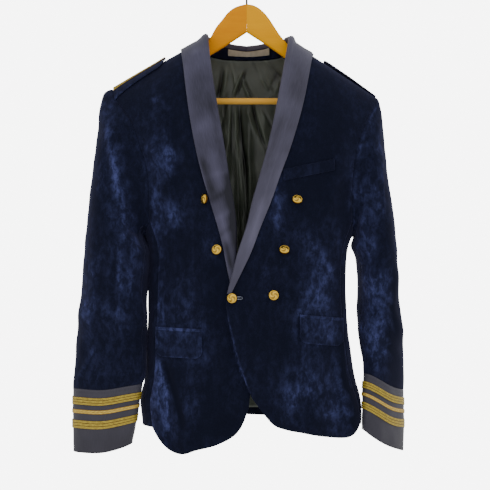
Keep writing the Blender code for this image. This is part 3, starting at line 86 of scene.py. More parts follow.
glow.inputs["To Min"].default_value, glow.inputs["To Max"].default_value = AMBIENT, WHITE_WALL
world.node_tree.links.new(seen.outputs["Is Camera Ray"], glow.inputs["Value"])
world.node_tree.links.new(glow.outputs["Result"], backdrop.inputs["Strength"])
bpy.context.scene.world = world


# Hanger: two arms of pale varnished wood, mitred and glued at the top, a round bar
# between their ends, and a wire hook that is screwed into the joint.
LEFT, RIGHT = -1, 1
WORDS = {LEFT: "left", RIGHT: "right"}
SHARP_ANGLE = 50         # degrees, past which an edge of a turned piece stays crisp
HANGER_HALF_THICK = 0.0075
ARM_SIDES, BAR_SIDES, WIRE_SIDES = 48, 40, 20
ARM_POWER = 5            # of the arms' section, a box with rounded corners
# Arms: distance from the middle, top and bottom height
HANGER_SECTIONS = {
    LEFT: ((0.00015, -0.0697, -0.1192), (0.0120, -0.0723, -0.1271), (0.0226, -0.0765, -0.1340),
           (0.0336, -0.0852, -0.1411), (0.0430, -0.0970, -0.1472), (0.0540, -0.1108, -0.1540),
           (0.0665, -0.1325, -0.1615), (0.0850, -0.1475, -0.1735), (0.1000, -0.1510, -0.1830),
           (0.1150, -0.1565, -0.1915), (0.1700, -0.1872, -0.2270), (0.1850, -0.1956, -0.2460),
           (0.1980, -0.2029, -0.2540), (0.2080, -0.2095, -0.2530), (0.2150, -0.2170, -0.2470),
           (0.2180, -0.2260, -0.2400)),
    RIGHT: ((0.00015, -0.0697, -0.1192), (0.0120, -0.0718, -0.1269), (0.0226, -0.0777, -0.1337),
            (0.0336, -0.0880, -0.1409), (0.0430, -0.1008, -0.1475), (0.0540, -0.1180, -0.1552),
            (0.0665, -0.1345, -0.1640), (0.0850, -0.1520, -0.1775), (0.1000, -0.1568, -0.1870),
            (0.1150, -0.1634, -0.1960), (0.1700, -0.1996, -0.2340), (0.1820, -0.2075, -0.2480),
            (0.1920, -0.2141, -0.2560), (0.2010, -0.2205, -0.2560), (0.2075, -0.2280, -0.2510),
            (0.2105, -0.2360, -0.2450)),
}
BAR_Z = -0.2396
BAR_RADIUS = 0.0056
BAR_END = 0.1960
HOOK_WIRE = 0.0018
HOOK_INNER = 0.0170
HOOK_FOOT_Z = -0.0940
HOOK_NECK_Z = -0.0560


def cubic(t, gap, start, end, start_slope, end_slope):
    """Cubic from start to end with given slopes, t from 0 to 1 over a gap."""
    return ((2 * t**3 - 3 * t**2 + 1) * start + (t**3 - 2 * t**2 + t) * gap * start_slope
            + (3 * t**2 - 2 * t**3) * end + (t**3 - t**2) * gap * end_slope)


def smooth(table, at):
    """Cubic curve through a two-column table, first column rising or falling. Its slope at
    a row is the mean of the steps beside it, or 0 where they turn."""
    table = sorted(table)
    xs = np.array([row[0] for row in table])
    ys = np.array([row[1] for row in table])
    steps = np.diff(ys) / np.diff(xs)
    slopes = np.concatenate([steps[:1], (steps[:-1] + steps[1:]) / 2, steps[-1:]])
    turns = np.concatenate([[False], steps[:-1] * steps[1:] <= 0, [False]])
    slopes[turns] = 0.0
    at = np.clip(np.asarray(at, float), xs[0], xs[-1])
    i = np.clip(np.searchsorted(xs, at, side="right") - 1, 0, len(xs) - 2)
    gap = xs[i + 1] - xs[i]
    return cubic((at - xs[i]) / gap, gap, ys[i], ys[i + 1], slopes[i], slopes[i + 1])


def unit(vectors):
    """Vectors scaled to length 1."""
    return vectors / np.maximum(np.linalg.norm(vectors, axis=-1, keepdims=True), 1e-12)


def between(grid, count):
    """Rows through the given rows, spaced evenly, on cubic curves along each column."""
    steps = np.linalg.norm(np.diff(grid, axis=0), axis=-1).reshape(len(grid) - 1, -1).mean(1)
    at = np.concatenate([[0.0], np.cumsum(np.maximum(steps, 1e-9))])
    slope = np.gradient(grid, at, axis=0)
    wanted = np.linspace(0, at[-1], count)
    i = np.clip(np.searchsorted(at, wanted, side="right") - 1, 0, len(at) - 2)
    gap = (at[i + 1] - at[i]).reshape(-1, *([1] * (grid.ndim - 1)))
    t = ((wanted - at[i]) / (at[i + 1] - at[i])).reshape(gap.shape)
    return cubic(t, gap, grid[i], grid[i + 1], slope[i], slope[i + 1])


def circle(sides):
    """Angles evenly spread round a circle."""
    return np.linspace(0, 2 * math.pi, sides, endpoint=False)


def boxy(angle, power):
    """Reach of a rounded box at an angle: a power of 2 is a circle, higher is boxier."""
    return (np.abs(np.cos(angle)) ** power + np.abs(np.sin(angle)) ** power) ** (-1 / power)


def points_of(x, y, z):
    """Points from their coordinates, spread over the same grid."""
    return np.stack(np.broadcast_arrays(x, y, z), axis=-1)


def cloth_lengths(grid):
    """Distance across and along the cloth of each point of a grid, in metres."""
    across = np.linalg.norm(np.diff(grid, axis=1), axis=-1).mean(0)
    along = np.linalg.norm(np.diff(grid, axis=0), axis=-1).mean(1)
    u = np.concatenate([[0.0], np.cumsum(across)])
    v = np.concatenate([[0.0], np.cumsum(along)])
    return np.stack(np.meshgrid(u, v), axis=-1)


def sampled(at, along, points):
    """Points at places along a row of points, on the straight steps between them."""
    return np.stack([np.interp(at, along, points[:, k]) for k in range(3)], axis=-1)


def squares(index):
    """The faces between neighbours of a grid of point numbers."""
    return np.stack([index[:-1, :-1], index[:-1, 1:], index[1:, 1:], index[1:, :-1]], -1)


def against(points, quads, centre):
    """Whether the faces look towards a centre, so that they have to be turned over."""
    a, b, c, d = (points[quads[:, k]] for k in range(4))
    return (np.cross(c - a, d - b) * (a + c - 2 * centre)).sum() < 0


def skin(name, points, faces, material, values=(), cloth=None):
    """A smooth piece on the root body: values for each point, and the cloth's own
    coordinates, across and along, as its UV map."""
    mesh = bpy.data.meshes.new(name)
    mesh.from_pydata(points.tolist(), [], faces)
    if cloth is not None:
        corners = np.empty(len(mesh.loops), np.int32)
        mesh.loops.foreach_get("vertex_index", corners)
        layer = mesh.uv_layers.new(name="cloth")
        layer.data.foreach_set("uv", cloth[corners].astype(np.float32).ravel())
    for key, value in dict(values).items():
        attribute = mesh.attributes.new(key, "FLOAT", "POINT")
        attribute.data.foreach_set("value", value.astype(np.float32))
    mesh.shade_smooth()
    mesh.materials.append(material)
    piece = in_scene(name, mesh)
    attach(piece, "root")
    return piece


def stands_for(node):
    """Hide the solid that a piece replaces."""
    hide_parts(node)


def closed_tube(name, rings, material, values=()):
    """A closed skin over a stack of rings of points, both ends closed by a middle point."""
    rows, columns = rings.shape[:2]
    index = np.arange(rows * columns).reshape(rows, columns)
    index = np.concatenate([index, index[:, :1]], axis=1)
    ends = np.array([rings[0].mean(0), rings[-1].mean(0)])
    first = np.stack([index[0, 1:], index[0, :-1], np.full(columns, rows * columns)], -1)
    last = np.stack([index[-1, :-1], index[-1, 1:], np.full(columns, rows * columns + 1)], -1)
    points = np.concatenate([rings.reshape(-1, 3), ends])
    quads = squares(index).reshape(-1, 4)
    faces = quads.tolist() + first.tolist() + last.tolist()
    if against(points, quads, points.mean(0)):
        faces = [face[::-1] for face in faces]
    flat = np.concatenate([cloth_lengths(rings).reshape(-1, 2), np.zeros((2, 2))])
    piece = skin(name, points, faces, material, values, flat)
    piece.data.set_sharp_from_angle(angle=math.radians(SHARP_ANGLE))
    return piece


class Shade:
    """A value, colour or vector of a material; arithmetic on it adds Math nodes."""

    def __init__(self, tree, socket=None):
        self.tree, self.socket = tree, socket

    def node(self, kind, settings=(), sockets=(), output=0):
        """One node of a type: its settings first, then its sockets' values or links."""
        made = self.tree.nodes.new("ShaderNode" + kind)
        for name, value in dict(settings).items():
            if name == "stops":
                ramp = made.color_ramp
                while len(ramp.elements) < len(value):
                    ramp.elements.new(0.5)
                for stop, (place, colour) in zip(ramp.elements, value):
                    stop.position, stop.color = place, (*colour, 1.0)
            else:
                setattr(made, name, value)
        for name, value in dict(sockets).items():
            if isinstance(value, Shade):
                self.tree.links.new(value.socket, made.inputs[name])
            else:
                made.inputs[name].default_value = value
        return Shade(self.tree, made.outputs[output])

    def math(self, operation, *values):
        return self.node("Math", {"operation": operation}, dict(enumerate(values)))

    def __add__(self, other):
        return self.math("ADD", self, other)

    def __sub__(self, other):
        return self.math("SUBTRACT", self, other)

    def __rsub__(self, other):
        return self.math("SUBTRACT", other, self)

    def __mul__(self, other):
        return self.math("MULTIPLY", self, other)

    def __truediv__(self, other):
        return self.math("DIVIDE", self, other)

    def __pow__(self, other):
        return self.math("POWER", self, other)

    __radd__, __rmul__ = __add__, __mul__

    def clamp(self, low=0.0, high=1.0):
        return self.node("Clamp", (), {"Value": self, "Min": low, "Max": high})

    def mix(self, first, second):
        """Colour between two, with this value as the share of the second."""
        return self.node("Mix", {"data_type": "RGBA"},
                         {0: self, 6: (*first, 1.0), 7: (*second, 1.0)}, 2)

    def sine(self):
        return self.math("SINE", self)

    def part(self, axis):
        """x, y or z of a vector."""
        return self.node("SeparateXYZ", (), {0: self}, "XYZ".index(axis))

    def noise(self, scale, detail=2.0, rough=0.5, swirl=0.0):
        """Noise over this place."""
        return self.node("TexNoise", (), {"Vector": self, "Scale": scale, "Detail": detail,
                                          "Roughness": rough, "Distortion": swirl})

    def scaled(self, scale, turn=(0.0, 0.0, 0.0)):
        """This place in coordinates that are scaled along each axis and turned."""
        return self.node("Mapping", (), {"Vector": self, "Rotation": turn, "Scale": scale})


def start(name):
    """A new material and the start of its nodes."""
    material = bpy.data.materials.new(name)
    material.use_nodes = True
    return Shade(material.node_tree)


def place(shade):
    """Object coordinates, in metres."""
    return shade.node("TexCoord", (), (), 3)


def finish(name, colour, roughness, relief=None, strength=0.5, distance=0.001, fixed=()):
    """A Principled material: links for what varies, fixed values on their own sockets."""
    material = bpy.data.materials[name]
    tree = material.node_tree
    shader = tree.nodes["Principled BSDF"]
    for socket, value in (("Base Color", colour), ("Roughness", roughness)):
        if isinstance(value, Shade):
            tree.links.new(value.socket, shader.inputs[socket])
        elif socket == "Base Color":
            shader.inputs[socket].default_value = (*value, 1.0)
        else:
            shader.inputs[socket].default_value = value
    for socket, value in dict(fixed).items():
        shader.inputs[socket].default_value = value
    if relief is not None:
        bump = relief.node("Bump", (), {"Strength": strength, "Distance": distance,
                                        "Height": relief})
        tree.links.new(bump.socket, shader.inputs["Normal"])
    return material


def varnished(name, pale, deep, lean):
    """Straight-grained wood under varnish: long streaks along the arm and fine pores."""
    wood = start(name)
    spot = place(wood)
    grain = spot.scaled((1.0, 6.0, 9.0), (0.0, lean, 0.0))
    streaks = grain.noise(14.0, 4.0, 0.6)
    pores = grain.noise(90.0, 3.0, 0.7)
    rays = spot.noise(22.0, 2.0)
    share = (streaks * 0.9 + pores * 0.45 + rays * 0.25 - 0.42).clamp()
    colour = share.mix(pale, deep)
    return finish(name, colour, pores * 0.12 + 0.34, pores, 0.08, 0.0005,
                  {"Coat Weight": 0.03, "Coat Roughness": 0.15, "Specular IOR Level": 0.06})


arm_finish = {
    LEFT: varnished("varnished_arm_left", (0.92, 0.36, 0.0), (0.74, 0.23, 0.0), -0.62),
    RIGHT: varnished("varnished_arm_right", (1.0, 0.46, 0.0), (0.84, 0.34, 0.0), 0.66),
}
for side, word in WORDS.items():
    table = np.array(HANGER_SECTIONS[side])
    reach_out = np.concatenate([np.linspace(0.00002, 0.20, 120), np.linspace(0.2005, 0.2095, 20)
                                if side == RIGHT else np.linspace(0.2005, 0.2175, 24)])
    top, bottom = (smooth(table[:, [0, k]].tolist(), reach_out) for k in (1, 2))
    half, middle = (top - bottom) / 2, (top + bottom) / 2
    thick = HANGER_HALF_THICK * np.minimum(1.0, 0.55 + half / 0.02)
    angle = circle(ARM_SIDES)
    reach = boxy(angle, ARM_POWER)
    rings = points_of(side * reach_out[:, None], thick[:, None] * reach * np.sin(angle),
                      middle[:, None] + half[:, None] * reach * np.cos(angle))
    arm = closed_tube("wooden_arm_" + word, rings, arm_finish[side])
    stands_for("hanger_" + word)

# The bar's varnish is painted paler than the arms': painted light against the shade it hangs in
bar_finish = varnished("varnished_bar", (1.0, 0.56, 0.09), (1.0, 0.46, 0.06), math.pi / 2)
ends = np.array([0.0, 0.0006, 0.0016, *np.linspace(0.004, 2 * BAR_END - 0.004, 60),
                 2 * BAR_END - 0.0016, 2 * BAR_END - 0.0006, 2 * BAR_END]) - BAR_END
round_off = BAR_RADIUS - 0.0008 * np.clip(1 - (BAR_END - np.abs(ends)) / 0.0016, 0, 1) ** 2
angle = circle(BAR_SIDES)
bar = closed_tube("trouser_bar", points_of(
    ends[:, None], round_off[:, None] * np.cos(angle),
    BAR_Z + round_off[:, None] * np.sin(angle)), bar_finish)
stands_for("hanger_bar")

bow = np.radians(np.linspace(-42, 198, 90))
line = np.concatenate([
    [(0.0, HOOK_FOOT_Z), (0.0, -0.080), (0.0, -0.068), (0.0, HOOK_NECK_Z),
     (0.0012, HOOK_NECK_Z + 0.006), (0.0052, HOOK_NECK_Z + 0.0115)],
    np.stack([(HOOK_INNER + HOOK_WIRE) * np.cos(bow),
              -HOOK_INNER + (HOOK_INNER + HOOK_WIRE) * np.sin(bow)], axis=-1)])
WIRE_POINTS = 220
line = between(line, WIRE_POINTS)
run = unit(np.gradient(line, axis=0))
angle = circle(WIRE_SIDES)
wire = HOOK_WIRE * np.minimum(1.0, 0.4 + 40 * np.arange(WIRE_POINTS)[::-1] / WIRE_POINTS)[:, None]
rings = np.stack([line[:, :1] - run[:, 1:] * wire * np.cos(angle), wire * np.sin(angle),
                  line[:, 1:] + run[:, :1] * wire * np.cos(angle)], axis=-1)
steel = start("blackened_steel")
scuffs = place(steel).noise(260.0, 3.0)
hook = closed_tube("wire_hook", rings, finish(
    "blackened_steel", (scuffs * 1.4 - 0.4).clamp().mix((0.05, 0.045, 0.04), (0.12, 0.10, 0.08)),
    scuffs * 0.3 + 0.2, None, fixed={"Metallic": 1.0}))
stands_for("hanger_hook")


# Body: two fronts, two side panels under the arms and two backs with a centre seam, of
# cotton velvet, sewn edge to edge, so that each panel ends just short of its neighbour.
# Its short pile is darkest where it stands and lighter where brushing by hand has laid it flat,
# with painted highlights and painted shade along its creases, seams and edges.

# Cloth and seams
WALL = 0.0020            # velvet with its lining
SEAM = 0.0003            # gap between two pieces that are sewn together
# The body's horizontal sections: height, leftmost and rightmost x, front and back y
BODY_SECTIONS = (
    # z       left    right   front   back
    (-0.870, -0.180, 0.195, -0.072, 0.060),
    (-0.805, -0.182, 0.195, -0.075, 0.063),
    (-0.765, -0.1855, 0.1945, -0.077, 0.066),
    (-0.720, -0.178, 0.188, -0.079, 0.068),
    (-0.640, -0.173, 0.177, -0.081, 0.070),
    (-0.560, -0.170, 0.173, -0.083, 0.071),
    (-0.495, -0.1705, 0.1775, -0.083, 0.074),
    (-0.452, -0.185, 0.193, -0.082, 0.077),
    (-0.360, -0.215, 0.225, -0.079, 0.080),
    (-0.280, -0.245, 0.248, -0.076, 0.080),
    (-0.200, -0.262, 0.262, -0.072, 0.080),
    (-0.100, -0.262, 0.262, -0.070, 0.082),
)
SECTION_POWER = 2.6      # 2 is an ellipse, higher is boxier
# The shoulder line falls away from the neck on each side, left and right
NECK_X = 0.083
SHOULDER = {LEFT: {"neck_z": -0.1357, "slope": 0.558, "end_x": 0.2325},
            RIGHT: {"neck_z": -0.1392, "slope": 0.657, "end_x": 0.2260}}
RIDGE_DEPTH = 0.170      # how far below the shoulder line the body reaches full depth
RIDGE_POWER = 2.1
# Side seams, as a share of the half width, and the foot of the armholes
SEAM_SHARE = {LEFT: 0.90, RIGHT: 0.94}
NOTCH_Z = -0.452
ARMPIT_DROP = 0.028
# Front edge from the hem's corner up to the neck: height, x
FRONT_EDGE = {
    LEFT: ((-0.8042, -0.0100), (-0.7880, -0.0026), (-0.7650, 0.0040), (-0.7450, 0.0070),
           (-0.7000, 0.0050), (-0.6500, 0.0000), (-0.6000, -0.0040), (-0.5850, -0.0070),
           (-0.5600, -0.0190), (-0.5000, -0.0208), (-0.4600, -0.0203), (-0.4250, -0.0240),
           (-0.3798, -0.0324), (-0.3116, -0.0433), (-0.2416, -0.0564), (-0.1800, -0.0695),
           (-0.1357, -0.0830)),
    RIGHT: ((-0.7810, 0.0300), (-0.7454, 0.0054), (-0.7232, -0.0026), (-0.6760, -0.0180),
            (-0.6440, -0.0260), (-0.6116, -0.0328), (-0.5930, -0.0350), (-0.5750, -0.0303),
            (-0.5425, -0.0218), (-0.5001, -0.0108), (-0.4532, 0.0049), (-0.4167, 0.0121),
            (-0.3799, 0.0233), (-0.3383, 0.0353), (-0.2419, 0.0571), (-0.1827, 0.0705),
            (-0.1392, 0.0830)),
}
# Front hem from the side seam to the corner: x, height
FRONT_HEM = {
    LEFT: ((-0.1640, -0.8048), (-0.1517, -0.8252), (-0.1329, -0.8442), (-0.1120, -0.8504),
           (-0.0876, -0.8435), (-0.0474, -0.8323), (-0.0182, -0.8145), (-0.0100, -0.8042)),
    RIGHT: ((0.1900, -0.8000), (0.1810, -0.8130), (0.1710, -0.8255), (0.1580, -0.8300),
            (0.1363, -0.8270), (0.0962, -0.8170), (0.0640, -0.8080), (0.0452, -0.7989),
            (0.0300, -0.7810)),
}
BACK_HEM_Z = {"centre": -0.7930, "side": -0.8000}
# Armhole seams above the notches: height, distance from the middle
FRONT_ARMHOLE = {
    LEFT: ((-0.4520, 0.1660), (-0.4335, 0.1685), (-0.4000, 0.1683), (-0.3602, 0.1712),
           (-0.3192, 0.1835), (-0.2818, 0.1970), (-0.2343, 0.2285), (-0.2192, 0.2325)),
    RIGHT: ((-0.4520, 0.1817), (-0.4117, 0.1810), (-0.3684, 0.1827), (-0.3169, 0.1909),
            (-0.2682, 0.2112), (-0.2438, 0.2243), (-0.2334, 0.2260)),
}
BACK_ARMHOLE = {
    LEFT: ((-0.4520, 0.1660), (-0.4200, 0.1740), (-0.3600, 0.1900), (-0.3000, 0.2080),
           (-0.2500, 0.2250), (-0.2192, 0.2325)),
    RIGHT: ((-0.4520, 0.1817), (-0.4200, 0.1850), (-0.3600, 0.1960), (-0.3000, 0.2110),
            (-0.2600, 0.2220), (-0.2334, 0.2260)),
}
# Rows of the body's grids: below the notch, then the fan up to the shoulder seam
HEM_SHARES = (0.0, 0.12, 0.35, 0.65)
SKIRT_TOP = -0.700
BODY_ROWS = (-0.700, -0.660, -0.620, -0.593, -0.570, -0.540, -0.508, -0.478, NOTCH_Z)
CHEST_ROWS = (-0.430, -0.400, -0.365, -0.330)
FAN_SHARES = (0.18, 0.34, 0.49, 0.62, 0.73, 0.82, 0.89, 0.945, 0.980, 1.0)
# The back's fan climbs the centre seam, then runs along the neck's edge: x, height
CENTRE_ROWS = (-0.280, -0.232, -0.188)
NECKLINE = ((0.0, -0.1500), (0.0260, -0.1492), (0.0480, -0.1472), (0.0655, -0.1435),
            (0.0765, -0.1392), (0.0814, -0.1366), (NECK_X, -0.1357))
SIDE_COLUMNS = 5
# Large soft folds: foot x and z, head x and z, half width, height (below 0 is a trough)
FRONT_FOLDS = (
    # foot x   foot z   head x   head z  width   height
    (-0.150, -0.850, -0.158, -0.560, 0.012, 0.0045),
    (-0.128, -0.860, -0.142, -0.640, 0.010, -0.0040),
    (-0.104, -0.860, -0.112, -0.700, 0.014, 0.0030),
    (-0.060, -0.840, -0.030, -0.610, 0.016, 0.0035),
    (-0.132, -0.420, -0.178, -0.270, 0.012, 0.0040),
    (-0.112, -0.400, -0.130, -0.230, 0.014, -0.0035),
    (0.060, -0.800, 0.005, -0.610, 0.016, 0.0035),
    (0.110, -0.830, 0.120, -0.680, 0.016, 0.0040),
    (0.145, -0.830, 0.150, -0.600, 0.014, -0.0035),
    (0.175, -0.820, 0.165, -0.640, 0.012, 0.0045),
    (0.140, -0.440, 0.172, -0.300, 0.012, 0.0035),
)
BACK_FOLDS = (
    (-0.120, -0.800, -0.100, -0.560, 0.018, 0.0050),
    (-0.070, -0.800, -0.080, -0.600, 0.016, -0.0040),
    (0.075, -0.800, 0.080, -0.580, 0.018, 0.0045),
    (0.125, -0.800, 0.105, -0.540, 0.016, -0.0040),
    (-0.130, -0.450, -0.185, -0.290, 0.016, 0.0045),
    (0.130, -0.450, 0.180, -0.300, 0.016, 0.0045),
)
# The right front's lower corner flares out past the sleeve's cuff
FLARE = {"size": 0.014, "foot": -0.795, "head": -0.700, "angle": -0.60, "spread": 0.34}
# The fronts lap at the waist: the right one lies over the left one
LAP = {LEFT: {"push": 0.0052, "full_x": -0.040, "none_x": -0.085},
       RIGHT: {"push": -0.0042, "full_x": 0.005, "none_x": 0.075}}
LAP_FULL_Z, LAP_NONE_Z = -0.470, -0.400

# Finer creases of the fronts, from x, z to x, z, with painted highlights and painted shade along
# them
FRONT_CREASES = (
    # half width, height, painted light (highlight above 0, shade below 0), bow
    (-0.1627, -0.2386, -0.1202, -0.3561, 0.003, 0.0006, 0.1, 0),
    (-0.0929, -0.4532, -0.0895, -0.6355, 0.002, -0.0005, 0.1, 0),
    (-0.1576, -0.6900, -0.1355, -0.8160, 0.008, 0.0026, 1, 0.004),
    (-0.1508, -0.6934, -0.1338, -0.7990, 0.0018, 0.0008, 1.5, 0.004),
    (-0.1406, -0.6968, -0.1082, -0.8195, 0.005, -0.002, -0.35, 0.004),
    (-0.1645, -0.6610, -0.1713, -0.7292, 0.002, 0.0006, 1.1, 0),
    (-0.1713, -0.7292, -0.1627, -0.8024, 0.002, 0.0006, 1, 0),
    (-0.1627, -0.4618, -0.1627, -0.5367, 0.0025, 0.0008, 0.4, 0),
    (-0.1815, -0.3204, -0.1202, -0.3323, 0.004, 0.0008, 0.12, -0.003),
    (-0.1389, -0.3289, -0.1270, -0.3834, 0.006, 0.0009, 0.35, 0),
    (-0.1338, -0.4141, -0.1202, -0.4686, 0.007, 0.001, 0.3, 0.003),
    (-0.0571, -0.6014, -0.0248, -0.6730, 0.005, -0.0008, 0.05, 0),
    (-0.0316, -0.6151, 0.0059, -0.7445, 0.0014, 0.0007, 1.1, -0.004),
    (0.1643, -0.4549, 0.1183, -0.5333, 0.0035, 0.0016, 0.25, 0.004),
    (0.1524, -0.4618, 0.1660, -0.5197, 0.004, -0.0012, 0, 0),
    (0.1473, -0.5197, 0.1132, -0.6082, 0.006, 0.0014, 0.65, -0.003),
    (0.1217, -0.5333, 0.0928, -0.6048, 0.005, 0.0009, 0.3, 0.003),
    (0.0502, -0.3919, 0.0519, -0.4720, 0.004, 0.0008, 0.3, 0),
    (0.0263, -0.5197, 0.0365, -0.5946, 0.005, 0.0007, 0.15, 0),
    (0.1694, -0.5197, 0.1677, -0.6219, 0.002, 0.0008, 0.3, 0),
    (0.1694, -0.6662, 0.1762, -0.7479, 0.0018, 0.0007, 0.8, 0),
    (0.1490, -0.6696, 0.1592, -0.7973, 0.005, 0.0012, 0.18, 0.003),
    (0.0910, -0.6730, 0.1013, -0.7888, 0.007, -0.001, 0, -0.004),
    (0.0655, -0.6866, 0.0757, -0.7956, 0.007, 0.0008, 0.15, 0.003),
    (0.1813, -0.4873, 0.1864, -0.3391, 0.0025, 0.0008, 0.15, 0.006),
    (0.1421, -0.3289, 0.1864, -0.3664, 0.004, 0.0008, 0.1, -0.003),
)
# Patches of the fronts, lighter nap with painted highlights, and painted shade below 0:
# middle x and z, half width and height, turn, strength
FRONT_NAP_AND_LIGHT = (
    (-0.1304, -0.3442, 0.01225, 0.021, 0.1, 0.45),
    (-0.1304, -0.4379, 0.01575, 0.02275, 0.1, 0.4),
    (-0.1559, -0.2454, 0.007, 0.007, 0, 0.3),
    (-0.1508, -0.3289, 0.021, 0.07, 0, 0.14),
    (-0.1474, -0.5674, 0.0175, 0.077, 0, 0.12),
    (-0.0588, -0.4924, 0.0175, 0.0245, 0.5, 0.2),
    (-0.0827, -0.6355, 0.035, 0.0595, 0, 0.06),
    (-0.1645, -0.7070, 0.007, 0.0455, 0, 0.35),
    (-0.1270, -0.7547, 0.0175, 0.035, 0.2, 0.14),
    (0.1251, -0.5197, 0.0175, 0.0455, 0.2, 0.4),
    (0.1524, -0.4686, 0.01225, 0.028, 0.4, 0.28),
    (0.0979, -0.5844, 0.0175, 0.0385, 0, 0.22),
    (0.0502, -0.4345, 0.0105, 0.0455, 0, 0.35),
    (0.0774, -0.4822, 0.021, 0.0245, 0, 0.16),
    (0.0740, -0.7615, 0.021, 0.028, 0.2, 0.34),
    (0.1115, -0.7070, 0.028, 0.042, 0, 0.12),
    (0.1524, -0.7615, 0.01575, 0.0455, 0, 0.22),
    (-0.1542, -0.4141, 0.0105, 0.049, 0, 0.4),
    (-0.1559, -0.5026, 0.0105, 0.063, 0, 0.75),
    (-0.1559, -0.5929, 0.0105, 0.0525, 0, 0.45),
    (-0.1576, -0.6610, 0.0105, 0.0385, 0, 0.5),
    (-0.1593, -0.7462, 0.0105, 0.063, 0.05, 0.95),
    (-0.1321, -0.8024, 0.0175, 0.0175, 0, 0.5),
    (-0.1065, -0.5844, 0.01575, 0.0525, 0, 0.14),
    (-0.0844, -0.6610, 0.021, 0.0455, 0, 0.26),
    (-0.0929, -0.7547, 0.014, 0.028, 0, 0.22),
    (-0.0112, -0.7292, 0.00875, 0.0455, -0.1, 0.1),
    (-0.0367, -0.7973, 0.0455, 0.0245, 0.3, -0.1),
    (-0.0708, -0.7207, 0.0245, 0.0525, 0, -0.06),
    (0.1013, -0.5980, 0.00875, 0.028, 0, 0.5),
    (0.1336, -0.5946, 0.0105, 0.028, 0, 0.45),
    (0.1064, -0.6389, 0.0175, 0.01925, 0, 0.75),
    (0.1336, -0.6355, 0.014, 0.021, 0, 0.6),
    (0.1013, -0.7104, 0.028, 0.0455, 0, 0.08),
    (0.0962, -0.7377, 0.01225, 0.01225, 0, 0.35),
    (0.0757, -0.7752, 0.01225, 0.0175, 0.2, 0.4),
    (0.1268, -0.7820, 0.014, 0.014, 0, 0.4),
    (0.1285, -0.7462, 0.035, 0.042, 0, 0.14),
    (0.1779, -0.7343, 0.01225, 0.0805, 0, -0.6),
    (-0.0537, -0.5674, 0.0525, 0.105, 0, -0.06),
    (0.1183, -0.3800, 0.0525, 0.0525, 0, -0.08),
    (0.1421, -0.2778, 0.035, 0.0595, 0, -0.05),
    (-0.1270, -0.5708, 0.035, 0.077, 0, 0.1),
    (0.1796, -0.3970, 0.00875, 0.0455, 0, 0.12),
)
# Creases of the back with painted highlights along them, and its patches of lighter nap and
# painted light, as no photograph shows them
BACK_CREASES = (
    (-0.150, -0.430, -0.060, -0.330, 0.005, 0.0016, 0.25, 0.006),
    (0.150, -0.440, 0.070, -0.330, 0.005, 0.0016, 0.25, -0.006),
    (-0.120, -0.560, -0.030, -0.500, 0.005, 0.0014, 0.20, 0.004),
    (0.115, -0.580, 0.025, -0.520, 0.005, 0.0014, 0.20, -0.004),
    (-0.140, -0.640, -0.128, -0.520, 0.005, 0.0012, 0.25, 0.004),
    (0.145, -0.660, 0.130, -0.530, 0.005, 0.0012, 0.25, -0.004),
    (-0.185, -0.330, -0.150, -0.240, 0.006, 0.0016, 0.20, 0.004),
    (0.185, -0.340, 0.150, -0.250, 0.006, 0.0016, 0.20, -0.004),
    (0.004, -0.780, 0.004, -0.210, 0.0025, -0.0006, 0.10, 0.0),
)
BACK_NAP_AND_LIGHT = (
    (-0.090, -0.280, 0.050, 0.060, 0.2, 0.20),
    (0.100, -0.260, 0.045, 0.060, -0.2, 0.20),
    (-0.070, -0.480, 0.040, 0.070, 0.0, 0.22),
    (0.085, -0.500, 0.035, 0.080, 0.1, 0.22),
    (-0.110, -0.680, 0.035, 0.080, 0.0, 0.24),
    (0.100, -0.700, 0.040, 0.070, 0.0, 0.20),
)


def ease(start, end, value):
    """0 at start and 1 at end, with a soft step between."""
    t = np.clip((np.asarray(value, float) - start) / (end - start), 0.0, 1.0)
    return t * t * (3 - 2 * t)


def bell(distance, spread):
    """1 at no distance, falling off as a bell curve and near 0 past twice the spread."""
    return np.exp(-(distance / spread) ** 2)


def arch(share, power):
    """Height of a rounded arch over its share across: 1 in the middle, 0 at the end."""
    return (1 - share ** power) ** (1 / power)


def section(z):
    """Middle x, half width, front and back depth of the body at height z."""
    left, right, front, back = (
        smooth([(row[0], row[column]) for row in BODY_SECTIONS], z) for column in (1, 2, 3, 4))
    return (left + right) / 2, (right - left) / 2, front, back


def shoulder_z(x):
    """Height of the shoulder line over x, carried over the neck in a soft arch."""
    reach = np.where(np.abs(x) > NECK_X, np.abs(x), (x * x / NECK_X + NECK_X) / 2)
    lines = [SHOULDER[side]["neck_z"] - SHOULDER[side]["slope"] * (reach - NECK_X)
             for side in (LEFT, RIGHT)]
    share = ease(-0.05, 0.05, x)
    return lines[0] * (1 - share) + lines[1] * share


def fold_height(folds, x, z):
    """Sum of soft ridges and troughs, each along a line from its foot to its head."""
    total = np.zeros(np.broadcast(x, z).shape)
    for foot_x, foot_z, head_x, head_z, width, height in folds:
        t = np.clip((z - foot_z) / (head_z - foot_z), 0, 1)
        middle = foot_x + (head_x - foot_x) * t
        fade = ease(1.0, 0.65, t) * ease(-0.02, 0.10, t + 0.02)
        total = total + height * fade * bell(x - middle, width)
    return total


def flare(side, angle, z):
    """How far the skirt's front corner stands out to the side."""
    amount = FLARE["size"] * ease(FLARE["head"], FLARE["foot"], z)
    return (side == RIGHT) * amount * bell(angle - FLARE["angle"], FLARE["spread"])


def bowed(x, z, depth_column, folds, outward):
    """Depth of the body's front or back at x and height with its folds, and its share
    and curve across: a rounded box that comes to a ridge at the shoulder line."""
    middle, half, *depths = section(z)
    share = np.clip((x - middle) / half, -0.999, 0.999)
    curve = arch(np.abs(share), SECTION_POWER)
    drop = np.clip((shoulder_z(x) - z) / RIDGE_DEPTH, 0, 1)
    fade = np.clip((1 - np.abs(share)) / 0.04, 0, 1) * ease(0, 0.2, drop)
    y = (depths[depth_column] * curve * arch(1 - drop, RIDGE_POWER)
         + outward * fold_height(folds, x, z) * fade)
    return y, share, curve


